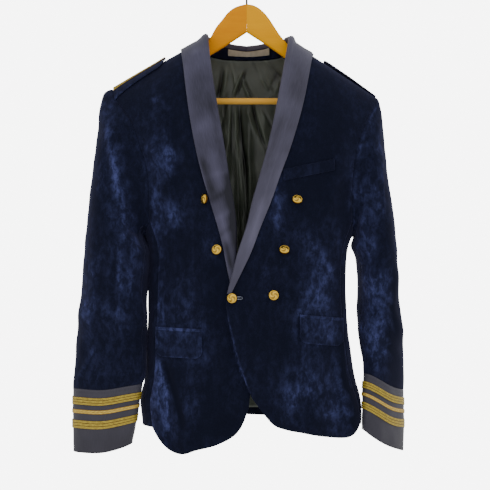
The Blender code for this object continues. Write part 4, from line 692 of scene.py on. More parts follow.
def front_point(side):
    """The front's outer surface as a function of x and height."""
    lap = LAP[side]

    def point(x, z):
        y, share, curve = bowed(x, z, 0, FRONT_FOLDS, -1)
        y = y + lap["push"] * ease(lap["none_x"], lap["full_x"], x) * ease(
            LAP_NONE_Z, LAP_FULL_Z, z)
        shift = flare(side, np.arctan2(-curve, np.abs(share)), z) * (share > 0.4)
        return points_of(x + shift, y, z)
    return point


def back_point(x, z):
    """The back's outer surface as a function of x and height."""
    y, _, _ = bowed(x, z, 1, BACK_FOLDS, 1)
    return points_of(x, y, z)


def side_point(side):
    """The body under the arm as a function of the angle round it and height."""
    def point(angle, z):
        middle, half, front, back = section(z)
        reach = boxy(angle, SECTION_POWER)
        share = reach * np.cos(angle)
        x = middle + side * half * share
        fade = np.clip((1 - share) / 0.04, 0, 1)
        is_front = np.sin(angle) < 0
        depth = np.where(is_front, -front, back)
        folds = np.where(is_front, -fold_height(FRONT_FOLDS, x, z),
                         fold_height(BACK_FOLDS, x, z)) * fade
        y = depth * reach * np.sin(angle) + folds
        return points_of(x + flare(side, angle, z), y, z)
    return point


def neckline(side):
    """The back neck's edge as x and height, lowered towards the lower shoulder."""
    fall = SHOULDER[side]["neck_z"] - SHOULDER[LEFT]["neck_z"]
    return [(x, z + fall * float(ease(0.045, NECK_X, x))) for x, z in NECKLINE]


def seam_x(side, z):
    """x of a side seam at height z."""
    middle, half, _, _ = section(z)
    return middle + side * SEAM_SHARE[side] * half


def edge_by_height(side, armhole):
    """x of a panel's outer edge: the side seam, then the armhole."""
    def at(z):
        return np.where(z <= NOTCH_Z, seam_x(side, z), side * smooth(armhole, z))
    return at


def edge_rows(hem_z, end_z):
    """Heights of a panel's rows along one edge: the skirt, the waist, the chest and the
    fan that climbs to the shoulder."""
    foot = CHEST_ROWS[-1]
    skirt = [hem_z + (SKIRT_TOP - hem_z) * share for share in HEM_SHARES]
    fan = [foot + (end_z - foot) * share for share in FAN_SHARES]
    return np.array([*skirt, *BODY_ROWS, *CHEST_ROWS, *fan])


def front_rows(side):
    """Heights of the front's rows along its edge, from the hem's corner to the neck."""
    return edge_rows(FRONT_EDGE[side][0][0], SHOULDER[side]["neck_z"])


# Edges of a grid and the lines of points beside them
FIRST_COLUMN = np.s_[:, 0], np.s_[:, 1]
LAST_COLUMN = np.s_[:, -1], np.s_[:, -2]
LAST_ROW = np.s_[-1], np.s_[-2]


def draw_in(grid, *edges):
    """Move the grid's edges inwards along the cloth, by half the gap at a seam."""
    grid = grid.copy()
    for edge, beside in edges:
        grid[edge] += SEAM / 2 * unit(grid[beside] - grid[edge])
    return grid


def ridge_normal(side):
    """Normal of the cloth on the shoulder line."""
    return unit(np.array([side * SHOULDER[side]["slope"], 0.0, 1.0]))


# Finer steps between the rows, points across a front and a back half
FRONT_STEPS, BACK_STEPS, SIDE_STEPS = 9, 7, 5
FRONT_POINTS, BACK_POINTS = 71, 49
FORWARDS = np.array([0.0, -1.0, 0.0])
HEIGHT_COLUMN, LIGHT_COLUMN = 5, 6      # of a table of creases
# Fullness of each side panel towards the sleeve: depth, height and spread
SIDE_FULLNESS = {LEFT: (0.0034, -0.545, 0.055), RIGHT: (0.0032, -0.762, 0.038)}
NOTCH_ROW = len(HEM_SHARES) + len(BODY_ROWS) - 1


def finer(values, times):
    """A row of numbers with straight steps put between each two."""
    values = np.asarray(values, float)
    count = (len(values) - 1) * times + 1
    return np.interp(np.linspace(0, len(values) - 1, count), np.arange(len(values)), values)


def facing(grid, outward, ring=False):
    """Unit normals of a grid of points, on the side that outward gives."""
    if ring:
        across = np.roll(grid, -1, axis=1) - np.roll(grid, 1, axis=1)
    else:
        across = np.gradient(grid, axis=1)
    normal = unit(np.cross(across, np.gradient(grid, axis=0)))
    return normal * np.sign((normal * outward).sum())


def wobble(x, z, size, turn=0.0):
    """Small unevenness of cloth: waves of four directions, about one high."""
    total = 0.0
    for k in range(4):
        angle = turn + 2.4 * k
        wave = 2 * math.pi / (size * (0.7 + 0.23 * k))
        total = total + np.sin(wave * (x * math.cos(angle) + z * math.sin(angle)) + 1.7 * k
                               + 1.3 * np.sin(0.37 * wave * (z + 0.6 * x)))
    return total / 2.6


def creases(table, x, z, column=HEIGHT_COLUMN):
    """Sum of soft ridges, each along a bowed line between two points that fades at both
    ends: from x, z to x, z, half width, height, painted light, bow to the side. At the light
    column the sum is a painted highlight on a crest and painted shade below 0."""
    total = np.zeros(np.broadcast(x, z).shape)
    for row in table:
        x0, z0, x1, z1, width, bow = *row[:5], row[7]
        long = math.hypot(x1 - x0, z1 - z0)
        over_x, over_z = (x1 - x0) / long, (z1 - z0) / long
        t = ((x - x0) * over_x + (z - z0) * over_z) / long
        off = (x - x0) * over_z - (z - z0) * over_x + bow * 4 * t * (1 - t)
        fade = ease(-0.08, 0.22, t) * ease(1.08, 0.75, t)
        spread = width if column == HEIGHT_COLUMN else width * 1.25
        total = total + row[column] * fade * bell(off, spread)
    return total


def patches(table, x, z):
    """Sum of patches of lighter nap and painted highlights, painted shade where the strength is
    below 0: middle x and z, half width and height, turn, strength.
    """
    total = np.zeros(np.broadcast(x, z).shape)
    x = x + 0.007 * wobble(x, z, 0.030, 0.9)
    z = z + 0.009 * wobble(x, z, 0.035, 2.2)
    for middle_x, middle_z, wide, high, turn, strength in table:
        cosine, sine = math.cos(turn), math.sin(turn)
        u = ((x - middle_x) * cosine + (z - middle_z) * sine) / wide
        v = ((z - middle_z) * cosine - (x - middle_x) * sine) / high
        total = total + strength * np.exp(-u * u - v * v)
    return total


def wall(name, outer, inner, material, values=(), ring=False):
    """A closed wall of cloth between two grids of points, its edges rounded by a middle
    row; a ring's last column meets its first. values are numbers for each point."""
    rows, columns = outer.shape[:2]
    count = rows * columns
    index = np.arange(count).reshape(rows, columns)
    lengths = cloth_lengths(outer).reshape(-1, 2)
    if ring:
        index = np.concatenate([index, index[:, :1]], axis=1)
    quads = squares(index).reshape(-1, 4)
    faces = [quads, (quads + count)[:, ::-1]]
    flat_out, flat_in = outer.reshape(-1, 3), inner.reshape(-1, 3)
    if ring:
        edges = [index[0, ::-1], index[-1]]
        steps = [columns, -columns]
    else:
        edges = [np.concatenate([index[0, ::-1], index[1:, 0], index[-1, 1:],
                                 index[-2::-1, -1]])]
        steps = None
    extra, extra_of = [], []
    for number, edge in enumerate(edges):
        loop = edge[:-1]
        near = (loop + steps[number] if ring else
                np.clip(loop // columns, 1, rows - 2) * columns
                + np.clip(loop % columns, 1, columns - 2))
        middle = (flat_out[loop] + flat_in[loop]) / 2
        away = unit(flat_out[loop] - flat_out[near])
        thick = np.linalg.norm(flat_out[loop] - flat_in[loop], axis=1, keepdims=True)
        first = 2 * count + sum(map(len, extra))
        extra.append(middle + away * thick * 0.22)
        extra_of.append(loop)
        rim = np.append(np.arange(first, first + len(loop)), first)
        faces.append(np.stack([edge[:-1], edge[1:], rim[1:], rim[:-1]], -1))
        faces.append(np.stack([rim[:-1], rim[1:], edge[1:] + count, edge[:-1] + count], -1))
    points = np.concatenate([flat_out, flat_in, *extra])
    faces = np.concatenate(faces)
    if against(points, faces, 0.0):
        faces = faces[:, ::-1]
    source = np.concatenate([np.arange(count), np.arange(count), *extra_of])
    whole = {key: np.broadcast_to(value, (rows, columns)).reshape(-1)[source]
             for key, value in dict(values).items()}
    return skin(name, points, faces.tolist(), material, whole, lengths[source])


def cut_of(grid, ring=False):
    """Flat width, length and area of the cloth in a grid, as it was cut."""
    closed = np.concatenate([grid, grid[:, :1]], axis=1) if ring else grid
    across = np.linalg.norm(np.diff(closed, axis=1), axis=-1)
    along = np.linalg.norm(np.diff(closed, axis=0), axis=-1)
    area = np.linalg.norm(np.cross(closed[1:, 1:] - closed[:-1, :-1],
                                   closed[1:, :-1] - closed[:-1, 1:]), axis=-1).sum() / 2
    width, length = np.percentile(across.sum(1), 90), along.sum(0).max()
    return float(width), float(max(length, area / width, 0.0101)), float(area)


def declare(node, grid, ring=False):
    """Hide the solid that the cloth stands for, and work out the size it was cut to."""
    stands_for(node)
    width, length, area = cut_of(grid, ring)


def outer_rows(side, hem_z):
    """Heights of a panel's rows along its side seam and armhole, up to the shoulder."""
    end = SHOULDER[side]["neck_z"] - SHOULDER[side]["slope"] * (SHOULDER[side]["end_x"] - NECK_X)
    return edge_rows(hem_z, end)


def bent_rows(start_x, start_z, end_x, end_z, share, hem_curve, steps):
    """Straight rows between two edges, with the skirt's rows bent to the hem's curve."""
    x = start_x[:, None] + (end_x - start_x)[:, None] * share
    z = start_z[:, None] + (end_z - start_z)[:, None] * share
    bend = hem_curve(x[0]) - z[0]
    bend = bend - bend[0] * (1 - share) - bend[-1] * share
    weights = np.zeros(len(start_x))
    skirt = finer([*HEM_SHARES, 1.0], steps)
    weights[:len(skirt)] = (1 - skirt) ** 2
    return x, z + weights[:, None] * bend


def creased(side, point, outward, x, z, end_x, near, table, brushed, turn=0.0):
    """A front's or back's points with creases, its normals, and its light: lighter nap with
    painted highlights and painted shade. The creases fade out at the armhole, at the shoulder
    and where near goes to 0."""
    grid = point(x, z)
    grid[-1, :, 1] = 0.0
    normal = facing(grid, outward)
    normal[-1] = ridge_normal(side)
    edge = ease(0.0, 0.012, np.abs(x - end_x[:, None])) * ease(0.0, 0.02, shoulder_z(x) - z)
    relief = creases(table, x, z) + 0.0003 * wobble(x, z, 0.05, turn)
    grid = grid + normal * (relief * edge * near)[..., None]
    normal[:-1] = facing(grid, outward)[:-1]
    # Painted highlights and shade along the creases, and patches of lighter nap and painted light
    light = creases(table, x, z, LIGHT_COLUMN) + patches(brushed, x, z)
    return draw_in(grid, LAST_ROW), normal, light


def side_hem_z(side):
    """Height of the front's hem at the side seam."""
    return (min(FRONT_HEM[side]) if side == LEFT else max(FRONT_HEM[side]))[1]


def front_grid(side):
    """One front: points, normals and brushed light, rows from the hem to the shoulder."""
    start_z = finer(front_rows(side), FRONT_STEPS)
    end_z = finer(outer_rows(side, side_hem_z(side)), FRONT_STEPS)
    start_x = finer(smooth(FRONT_EDGE[side], front_rows(side)), FRONT_STEPS)
    end_x = edge_by_height(side, FRONT_ARMHOLE[side])(end_z)
    share = 1 - (1 - np.linspace(0, 1, FRONT_POINTS)) ** 1.15
    x, z = bent_rows(start_x, start_z, end_x, end_z, share,
                     lambda at: smooth(FRONT_HEM[side], at), FRONT_STEPS)
    near = ease(0.0, 0.008, np.abs(x - start_x[:, None]))
    grid, normal, light = creased(side, front_point(side), FORWARDS, x, z, end_x, near,
                                  FRONT_CREASES, FRONT_NAP_AND_LIGHT)
    below = NOTCH_ROW * FRONT_STEPS + 1
    grid[:below] = draw_in(grid[:below], LAST_COLUMN)
    return grid, normal, light


def back_grid(side):
    """One half of the back, rows from the hem to the shoulder and the neck."""
    neck = [(z, 0.0) for z in CENTRE_ROWS] + [(z, side * x) for x, z in neckline(side)]
    hem = BACK_HEM_Z
    first = [hem["centre"] + (SKIRT_TOP - hem["centre"]) * share for share in HEM_SHARES]
    first = [*first, *BODY_ROWS, *CHEST_ROWS]
    start_z = finer([*first, *[row[0] for row in neck]], BACK_STEPS)
    start_x = finer([*[0.0] * len(first), *[row[1] for row in neck]], BACK_STEPS)
    end_z = finer(outer_rows(side, hem["side"]), BACK_STEPS)
    end_x = edge_by_height(side, BACK_ARMHOLE[side])(end_z)
    share = 1 - (1 - np.linspace(0, 1, BACK_POINTS)) ** 1.2
    x, z = bent_rows(start_x, start_z, end_x, end_z, share, lambda at: np.interp(
        np.abs(at), (0.0, 0.16), (hem["centre"], hem["side"])), BACK_STEPS)
    grid, normal, light = creased(side, back_point, -FORWARDS, x, z, end_x,
                                  ease(0.0, 0.006, np.abs(x)), BACK_CREASES, BACK_NAP_AND_LIGHT, 0.7)
    centre_rows = (len(first) + len(CENTRE_ROWS)) * BACK_STEPS + 1
    grid[:centre_rows] = draw_in(grid[:centre_rows], FIRST_COLUMN)
    below = NOTCH_ROW * BACK_STEPS + 1
    grid[:below] = draw_in(grid[:below], LAST_COLUMN)
    return grid, normal, light


def side_grid(side):
    """The panel under one arm, columns from the front seam to the back seam."""
    seam_share = SEAM_SHARE[side]
    seam_angle = math.atan2(arch(seam_share, SECTION_POWER), seam_share)
    across = np.linspace(0, 1, SIDE_COLUMNS * SIDE_STEPS + 1)
    angle = -seam_angle + 2 * seam_angle * across
    foot = side_hem_z(side) + (BACK_HEM_Z["side"] - side_hem_z(side)) * across
    shares = finer([*HEM_SHARES, 1.0], BACK_STEPS)[:, None]
    skirt = foot + (SKIRT_TOP - foot) * shares
    dips = finer([*[0.0] * (len(BODY_ROWS) - 3), 0.20, 0.55, 1.0], BACK_STEPS)[:, None]
    trunk = finer(BODY_ROWS, BACK_STEPS)[:, None] - ARMPIT_DROP * dips * np.sin(np.pi * across)
    z = np.concatenate([skirt[:-1], trunk])
    angle = np.broadcast_to(angle, z.shape)
    grid = side_point(side)(angle, z)
    normal = facing(grid, np.array([side, 0.0, 0.0]))
    depth, height, spread = SIDE_FULLNESS[side]
    relief = np.sin(np.pi * across) * (0.0006 * wobble(angle * 0.1, z, 0.06)
                                       + depth * bell(z - height, spread))
    grid = draw_in(grid + normal * relief[..., None], FIRST_COLUMN, LAST_COLUMN)
    light = 0.04 + 0.06 * wobble(angle * 0.2, z, 0.09)
    return grid, normal, light


def carried(shade, name):
    """A value that was worked out on the piece's points."""
    return shade.node("Attribute", {"attribute_name": name}, (), 2)


def pile(name, deep, brushed, rub):
    """Pile of a velvet panel: lighter nap with painted highlights and painted shade from its
    points, clouds and single tufts.
    """
    velvet = start(name)
    spot = place(velvet)
    stretched = spot.scaled((1.0, 1.0, 0.6))
    clouds = stretched.noise(24.0, 4.0, 0.65, 0.25)
    smears = stretched.noise(110.0, 4.0, 0.7, 0.3)
    tufts = spot.noise(700.0, 2.0, 0.6)
    patch = ((clouds - 0.42) * 4.0).clamp()
    stroke = ((smears - 0.42) * 3.8).clamp()
    # Lighter nap, painted highlights and painted shade, worked out on the piece's points
    nap_and_painted_light = carried(velvet, "brushed")
    light = (nap_and_painted_light * 1.2 + rub) * (patch * 0.7 + 0.3) * (stroke * 0.9 + 0.2)
    light = (light + (tufts - 0.5) * 0.12).clamp()
    colour = light.mix(deep, brushed)
    height = tufts * 0.4 + smears * 0.8
    return finish(name, colour, 0.9 - light * 0.12, height, 0.4, 0.0009,
                  {"Sheen Weight": 0.12, "Sheen Roughness": 0.5,
                   "Sheen Tint": (0.5, 0.5, 1.0, 1.0), "Specular IOR Level": 0.12})


# Standing pile, and the blue of lighter nap and of painted highlights
DEEP_BLUE, NAP_AND_LIT_BLUE = (0.0026, 0.0040, 0.0130), (0.072, 0.086, 0.250)
velvet = pile("velvet_pile", DEEP_BLUE, NAP_AND_LIT_BLUE, 0.11)
armholes = {}
for side, word in WORDS.items():
    made = {"front": front_grid(side), "back": back_grid(side), "side": side_grid(side)}
    for kind, (grid, normal, light) in made.items():
        piece = wall(f"velvet_{kind}_{word}", grid, grid - WALL * normal, velvet,
                     {"brushed": light})
        declare(f"{kind}_{word}", grid)
    front_from, back_from = NOTCH_ROW * FRONT_STEPS, NOTCH_ROW * BACK_STEPS
    armholes[side] = tuple(np.concatenate([
        made["front"][k][front_from:, -1][::-1], made["side"][k][-1, 1:-1],
        made["back"][k][back_from:, -1][:-1]]) for k in (0, 1))


# Sleeves of the same velvet, in two pieces each, the top sleeve round the outside of the
# arm and the under sleeve inside it, eased into the armhole, where the seam rolls softly.

# Sleeve sections from the armhole to the wrist: outer x and z, inner x and z, the depth
# at each edge, half thickness, and how much of it is the armhole carried outwards
SLEEVE = {
    # outer x  outer z   inner x  inner z  outer y  inner y  half    carry
    LEFT: (
        (-0.2465, -0.2310, -0.1830, -0.4815, 0.002, 0.002, 0.060, 0.85),
        (-0.2555, -0.2630, -0.1822, -0.4850, 0.002, -0.004, 0.064, 0.50),
        (-0.2600, -0.3070, -0.1800, -0.4890, 0.002, -0.010, 0.064, 0.20),
        (-0.2700, -0.3780, -0.1765, -0.4960, 0.000, -0.018, 0.063, 0.0),
        (-0.2770, -0.4464, -0.1724, -0.5090, -0.002, -0.028, 0.061, 0.0),
        (-0.2823, -0.5012, -0.1717, -0.5300, -0.004, -0.034, 0.058, 0.0),
        (-0.2865, -0.5607, -0.1750, -0.5720, -0.006, -0.030, 0.054, 0.0),
        (-0.2918, -0.6120, -0.1732, -0.6120, -0.008, -0.034, 0.049, 0.0),
        (-0.2955, -0.6500, -0.1726, -0.6470, -0.010, -0.037, 0.043, 0.0),
        (-0.2987, -0.6972, -0.1752, -0.6900, -0.012, -0.041, 0.034, 0.0),
        (-0.3021, -0.7385, -0.1795, -0.7300, -0.014, -0.045, 0.026, 0.0),
    ),
    RIGHT: (
        (0.2290, -0.2440, 0.1875, -0.4815, 0.002, 0.002, 0.059, 0.85),
        (0.2350, -0.2720, 0.1870, -0.4850, 0.002, 0.002, 0.063, 0.50),
        (0.2390, -0.3070, 0.1860, -0.4890, 0.002, 0.002, 0.064, 0.20),
        (0.2460, -0.3680, 0.1860, -0.4960, 0.004, 0.000, 0.064, 0.0),
        (0.2544, -0.4274, 0.1892, -0.5080, 0.006, -0.002, 0.062, 0.0),
        (0.2613, -0.4872, 0.1930, -0.5270, 0.010, -0.004, 0.060, 0.0),
        (0.2640, -0.5607, 0.1949, -0.5680, 0.016, -0.010, 0.055, 0.0),
        (0.2709, -0.6209, 0.1935, -0.6150, 0.024, -0.018, 0.048, 0.0),
        (0.2749, -0.6650, 0.1960, -0.6550, 0.032, -0.026, 0.040, 0.0),
        (0.2770, -0.7050, 0.2015, -0.6880, 0.040, -0.034, 0.031, 0.0),
        (0.2776, -0.7400, 0.2020, -0.7120, 0.046, -0.042, 0.024, 0.0),
    ),
}
SLEEVE_POWER = 2.3
SLEEVE_RINGS = 100
CAP_REACH = (0.004, 0.010, 0.020)      # of the first rings, out from the armhole's edge
# The top sleeve takes these columns of the back, the under sleeve the rest
TOP_SLEEVE_BACK = 10
# Sleeve creases: height, height of the ridge at the front and at the back, half width
SLEEVE_CREASES = {
    LEFT: ((-0.560, -0.0030, 0.0020, 0.022), (-0.610, 0.0035, -0.0030, 0.018),
           (-0.655, -0.0030, 0.0030, 0.020)),
    RIGHT: ((-0.545, 0.0030, -0.0030, 0.020), (-0.600, -0.0040, 0.0030, 0.018),
            (-0.640, 0.0035, -0.0030, 0.016), (-0.675, -0.0030, 0.0025, 0.014)),
}
# Finer creases of the sleeves' fronts with painted highlights and shade along them, and
# their patches of lighter nap and painted light and shade, as on the body
SLEEVE_FINE = {
    LEFT: (
        (-0.2380, -0.2811, -0.2139, -0.4134, 0.005, 0.0026, 0.75, -0.006),
        (-0.2139, -0.3928, -0.2105, -0.4581, 0.004, 0.0014, 0.55, 0),
        (-0.2174, -0.4237, -0.1882, -0.4512, 0.004, 0.0016, 0.35, 0.002),
        (-0.2225, -0.4409, -0.1933, -0.4718, 0.0035, -0.0014, 0, 0.002),
        (-0.2414, -0.3103, -0.2311, -0.4065, 0.008, -0.0016, 0, -0.005),
        (-0.2105, -0.4581, -0.2174, -0.6367, 0.004, 0.0012, 0.55, -0.004),
        (-0.1950, -0.4684, -0.1985, -0.5852, 0.004, 0.001, 0.45, 0),
        (-0.2036, -0.4752, -0.2053, -0.6367, 0.003, -0.001, 0, 0),
        (-0.2311, -0.4821, -0.2380, -0.6367, 0.006, 0.0009, 0.12, 0),
        (-0.2930, -0.7243, -0.2603, -0.6642, 0.003, 0.0012, 0.22, 0),
        (-0.2861, -0.6745, -0.2449, -0.6367, 0.005, -0.001, 0, 0.003),
        (-0.2620, -0.4821, -0.2689, -0.6367, 0.006, 0.0008, 0.1, 0),
        (-0.2517, -0.5938, -0.2002, -0.6161, 0.005, 0.001, 0.12, -0.003),
        (-0.2449, -0.2760, -0.2552, -0.4134, 0.006, 0.0009, 0.16, 0.003),
    ),
    RIGHT: (
        (0.1881, -0.3292, 0.2190, -0.3155, 0.003, 0.0015, 0.2, 0.002),
        (0.1829, -0.3790, 0.2155, -0.3653, 0.003, 0.0015, 0.2, 0.002),
        (0.1898, -0.3533, 0.2224, -0.3412, 0.0035, -0.0014, 0, 0.002),
        (0.1846, -0.4065, 0.2259, -0.3893, 0.004, 0.001, 0.18, 0.003),
        (0.1984, -0.4306, 0.2190, -0.5199, 0.004, 0.001, 0.25, -0.003),
        (0.1984, -0.5577, 0.2362, -0.5440, 0.0035, 0.0013, 0.4, 0.002),
        (0.2001, -0.5852, 0.2465, -0.5714, 0.0035, 0.0014, 0.4, 0.003),
        (0.2052, -0.6161, 0.2430, -0.5955, 0.004, -0.0013, 0, 0.003),
        (0.2052, -0.6367, 0.2465, -0.6230, 0.0035, 0.0014, 0.4, 0.003),
        (0.2087, -0.6642, 0.2396, -0.6470, 0.0035, 0.0013, 0.35, 0.002),
        (0.2121, -0.6917, 0.2499, -0.6745, 0.0035, 0.0012, 0.3, 0.002),
        (0.2155, -0.5337, 0.2293, -0.6711, 0.004, 0.001, 0.3, 0.003),
        (0.2293, -0.2931, 0.2362, -0.4649, 0.002, 0.0006, 0.2, 0.002),
        (0.2465, -0.4993, 0.2533, -0.6539, 0.005, -0.001, 0, 0.002),
    ),
}
# Fullness of the sleeves on the side of the body: depth, height and spread
INNER_FULLNESS = {LEFT: ((0.0055, -0.497, 0.016), (0.0040, -0.535, 0.045), (0.0030, -0.478, 0.009),
                         (0.0034, -0.706, 0.026)),
                  RIGHT: ((0.0030, -0.492, 0.012),)}
SLEEVE_NAP_AND_LIGHT = {
    LEFT: (
        (-0.2225, -0.3619, 0.0105, 0.07, 0.2, 0.42),
        (-0.2758, -0.5818, 0.00875, 0.0525, 0, 0.45),
        (-0.2277, -0.4220, 0.014, 0.035, 0, 0.2),
        (-0.2517, -0.2622, 0.021, 0.0175, 0.3, 0.25),
        (-0.2036, -0.5508, 0.01575, 0.098, 0, 0.32),
        (-0.2741, -0.5165, 0.007, 0.1575, 0.05, 0.18),
        (-0.2380, -0.5852, 0.021, 0.07, 0, 0.12),
        (-0.2517, -0.7054, 0.035, 0.028, 0.5, 0.1),
        (-0.2346, -0.2622, 0.021, 0.028, 0.4, 0.12),
    ),
    RIGHT: (
        (0.2190, -0.6195, 0.02625, 0.098, 0, 0.55),
        (0.2035, -0.5714, 0.014, 0.077, 0, 0.55),
        (0.2310, -0.5886, 0.014, 0.0455, 0, 0.25),
        (0.2602, -0.6539, 0.0105, 0.105, 0, -0.4),
        (0.2052, -0.6797, 0.00875, 0.0525, 0, -0.2),
        (0.2087, -0.4993, 0.014, 0.0525, 0, 0.3),
        (0.2018, -0.3962, 0.0175, 0.07, 0, 0.2),
        (0.2121, -0.2760, 0.01575, 0.035, 0.3, 0.16),
        (0.2259, -0.3790, 0.007, 0.105, -0.1, 0.18),
    ),
}
# Creases of the sleeves' backs and outer sides, with painted highlights along them, where no
# photograph shows them, with distances from the body's middle for x
SLEEVE_BACK = (
    (0.205, -0.300, 0.240, -0.360, 0.006, 0.0020, 0.25, 0.004),
    (0.200, -0.380, 0.250, -0.430, 0.006, 0.0018, 0.22, 0.005),
    (0.195, -0.540, 0.255, -0.560, 0.006, 0.0022, 0.28, 0.005),
    (0.200, -0.590, 0.265, -0.575, 0.006, 0.0022, 0.28, -0.005),
    (0.205, -0.620, 0.270, -0.640, 0.006, 0.0020, 0.25, 0.004),
    (0.235, -0.680, 0.240, -0.520, 0.008, 0.0014, 0.22, 0.006),
)


def sleeve_ring(row, angles):
    """One section of a sleeve: a flattened ring from its outer edge to its inner edge."""
    outer_x, outer_z, inner_x, inner_z, outer_y, inner_y, half = row[:7]
    outer = np.array([outer_x, outer_y, outer_z])
    inner = np.array([inner_x, inner_y, inner_z])
    wide = (outer - inner) / 2
    thick = np.cross(wide, [0.0, 0.0, 1.0])
    thick[2] = 0.0
    thick = unit(thick) * half
    if thick[1] > 0:
        thick = -thick
    cosine, sine = np.cos(angles)[:, None], np.sin(angles)[:, None]
    ring = (outer + inner) / 2 + boxy(angles, SLEEVE_POWER)[:, None] * (
        wide * cosine + thick * sine)
    seen = ring[:, 0]
    near, far = (seen.min(), seen.max()) if outer_x > inner_x else (seen.max(), seen.min())
    ring[:, 0] = inner_x + (seen - near) * (outer_x - inner_x) / (far - near)
    return ring


def ring_normals(ring):
    """Unit normals of a closed ring that stay in its own plane."""
    around = np.roll(ring, -1, axis=0) - np.roll(ring, 1, axis=0)
    spread = ring - ring.mean(axis=0)
    plane = unit(np.linalg.svd(spread)[2][2])
    normal = unit(np.cross(around, plane))
    return normal * np.sign((normal * spread).sum())


# The front of each sleeve's end and of its cuff sags in a bend: middle x, spread, depth,
# and the share of the depth that is left at the opening
SAG = {LEFT: (-0.248, 0.040, 0.0058, 1.0), RIGHT: (0.256, 0.036, 0.0125, 0.3)}
SAG_FROM, SAG_TO = -0.640, -0.735
SAG_LOW, SAG_HEM = -0.800, -0.850


def sagged(side, ring, angles):
    """Points of a sleeve, the front of its end let down by a bell curve over x."""
    middle_x, spread, depth, at_hem = SAG[side]
    x, z = ring[..., 0], ring[..., 2]
    share = ease(SAG_FROM, SAG_TO, z) * (1 - (1 - at_hem) * ease(SAG_LOW, SAG_HEM, z))
    moved = ring.copy()
    moved[..., 2] -= depth * share * ease(-0.7, 0.7, np.sin(angles)) * bell(x - middle_x, spread)
    return moved


def row_at(table, place, columns):
    """A row at a place between the rows of a table, on smooth curves down its columns."""
    return [float(smooth(list(enumerate(table[:, k])), place)) for k in range(columns)]


def hole_angles(points, foot):
    """Angle of each point of the armhole: 0 at the shoulder, half a turn at its foot."""
    steps = np.linalg.norm(np.roll(points, -1, axis=0) - points, axis=1)
    length = np.concatenate([[0], np.cumsum(steps)])
    at_foot = np.interp(foot, np.arange(len(length)), length)
    return np.interp(length[:-1], (0, at_foot, length[-1]), (0, math.pi, 2 * math.pi))


def sleeve_rows(side, points, cloth):
    """A whole sleeve as rings of points, from the armhole's edge to the wrist."""
    front_span = len(FAN_SHARES) + len(CHEST_ROWS)
    columns = np.arange(len(points))
    breaks = (0, front_span * FRONT_STEPS, front_span * FRONT_STEPS + SIDE_COLUMNS * SIDE_STEPS,
              len(points))
    counts = (0, front_span, front_span + SIDE_COLUMNS, 2 * front_span + SIDE_COLUMNS)
    cad_place = np.interp(columns, breaks, counts)
    foot = counts[1] + SIDE_COLUMNS / 2
    start_angle = hole_angles(points, breaks[1] + SIDE_COLUMNS * SIDE_STEPS / 2)
    even = np.interp(cad_place, (0, foot, counts[-1]), (0, math.pi, 2 * math.pi))
    tangent = unit(np.roll(points, -1, axis=0) - np.roll(points, 1, axis=0))
    away = np.cross(cloth, tangent)
    away *= np.sign((away[:9] @ np.array([side, 0.0, 0.0])).sum())
    rows = [points + 1.4 * SEAM * away]
    table = np.array(SLEEVE[side])
    stops = np.concatenate([[0, 1, 2], np.arange(3, len(table) - 0.9, 0.85)])
    stops[-1] = len(table) - 1
    for stop in stops:
        row = row_at(table, stop, 8)
        mix = ease(0, len(table) - 1, stop)
        ring = sleeve_ring(row, start_angle * (1 - mix) + even * mix)
        if stop < 3:
            carry = row[7]
            ring = carry * (points + CAP_REACH[int(stop)] * away) + (1 - carry) * ring
            seen = side * ring[:, 0]
            spread = (side * row[0] - seen.min()) / (seen.max() - seen.min())
            ring[:, 0] = side * (seen.min() + (seen - seen.min()) * spread)
        rows.append(ring)
    grid = between(np.array(rows), SLEEVE_RINGS)
    return sagged(side, grid, even), even


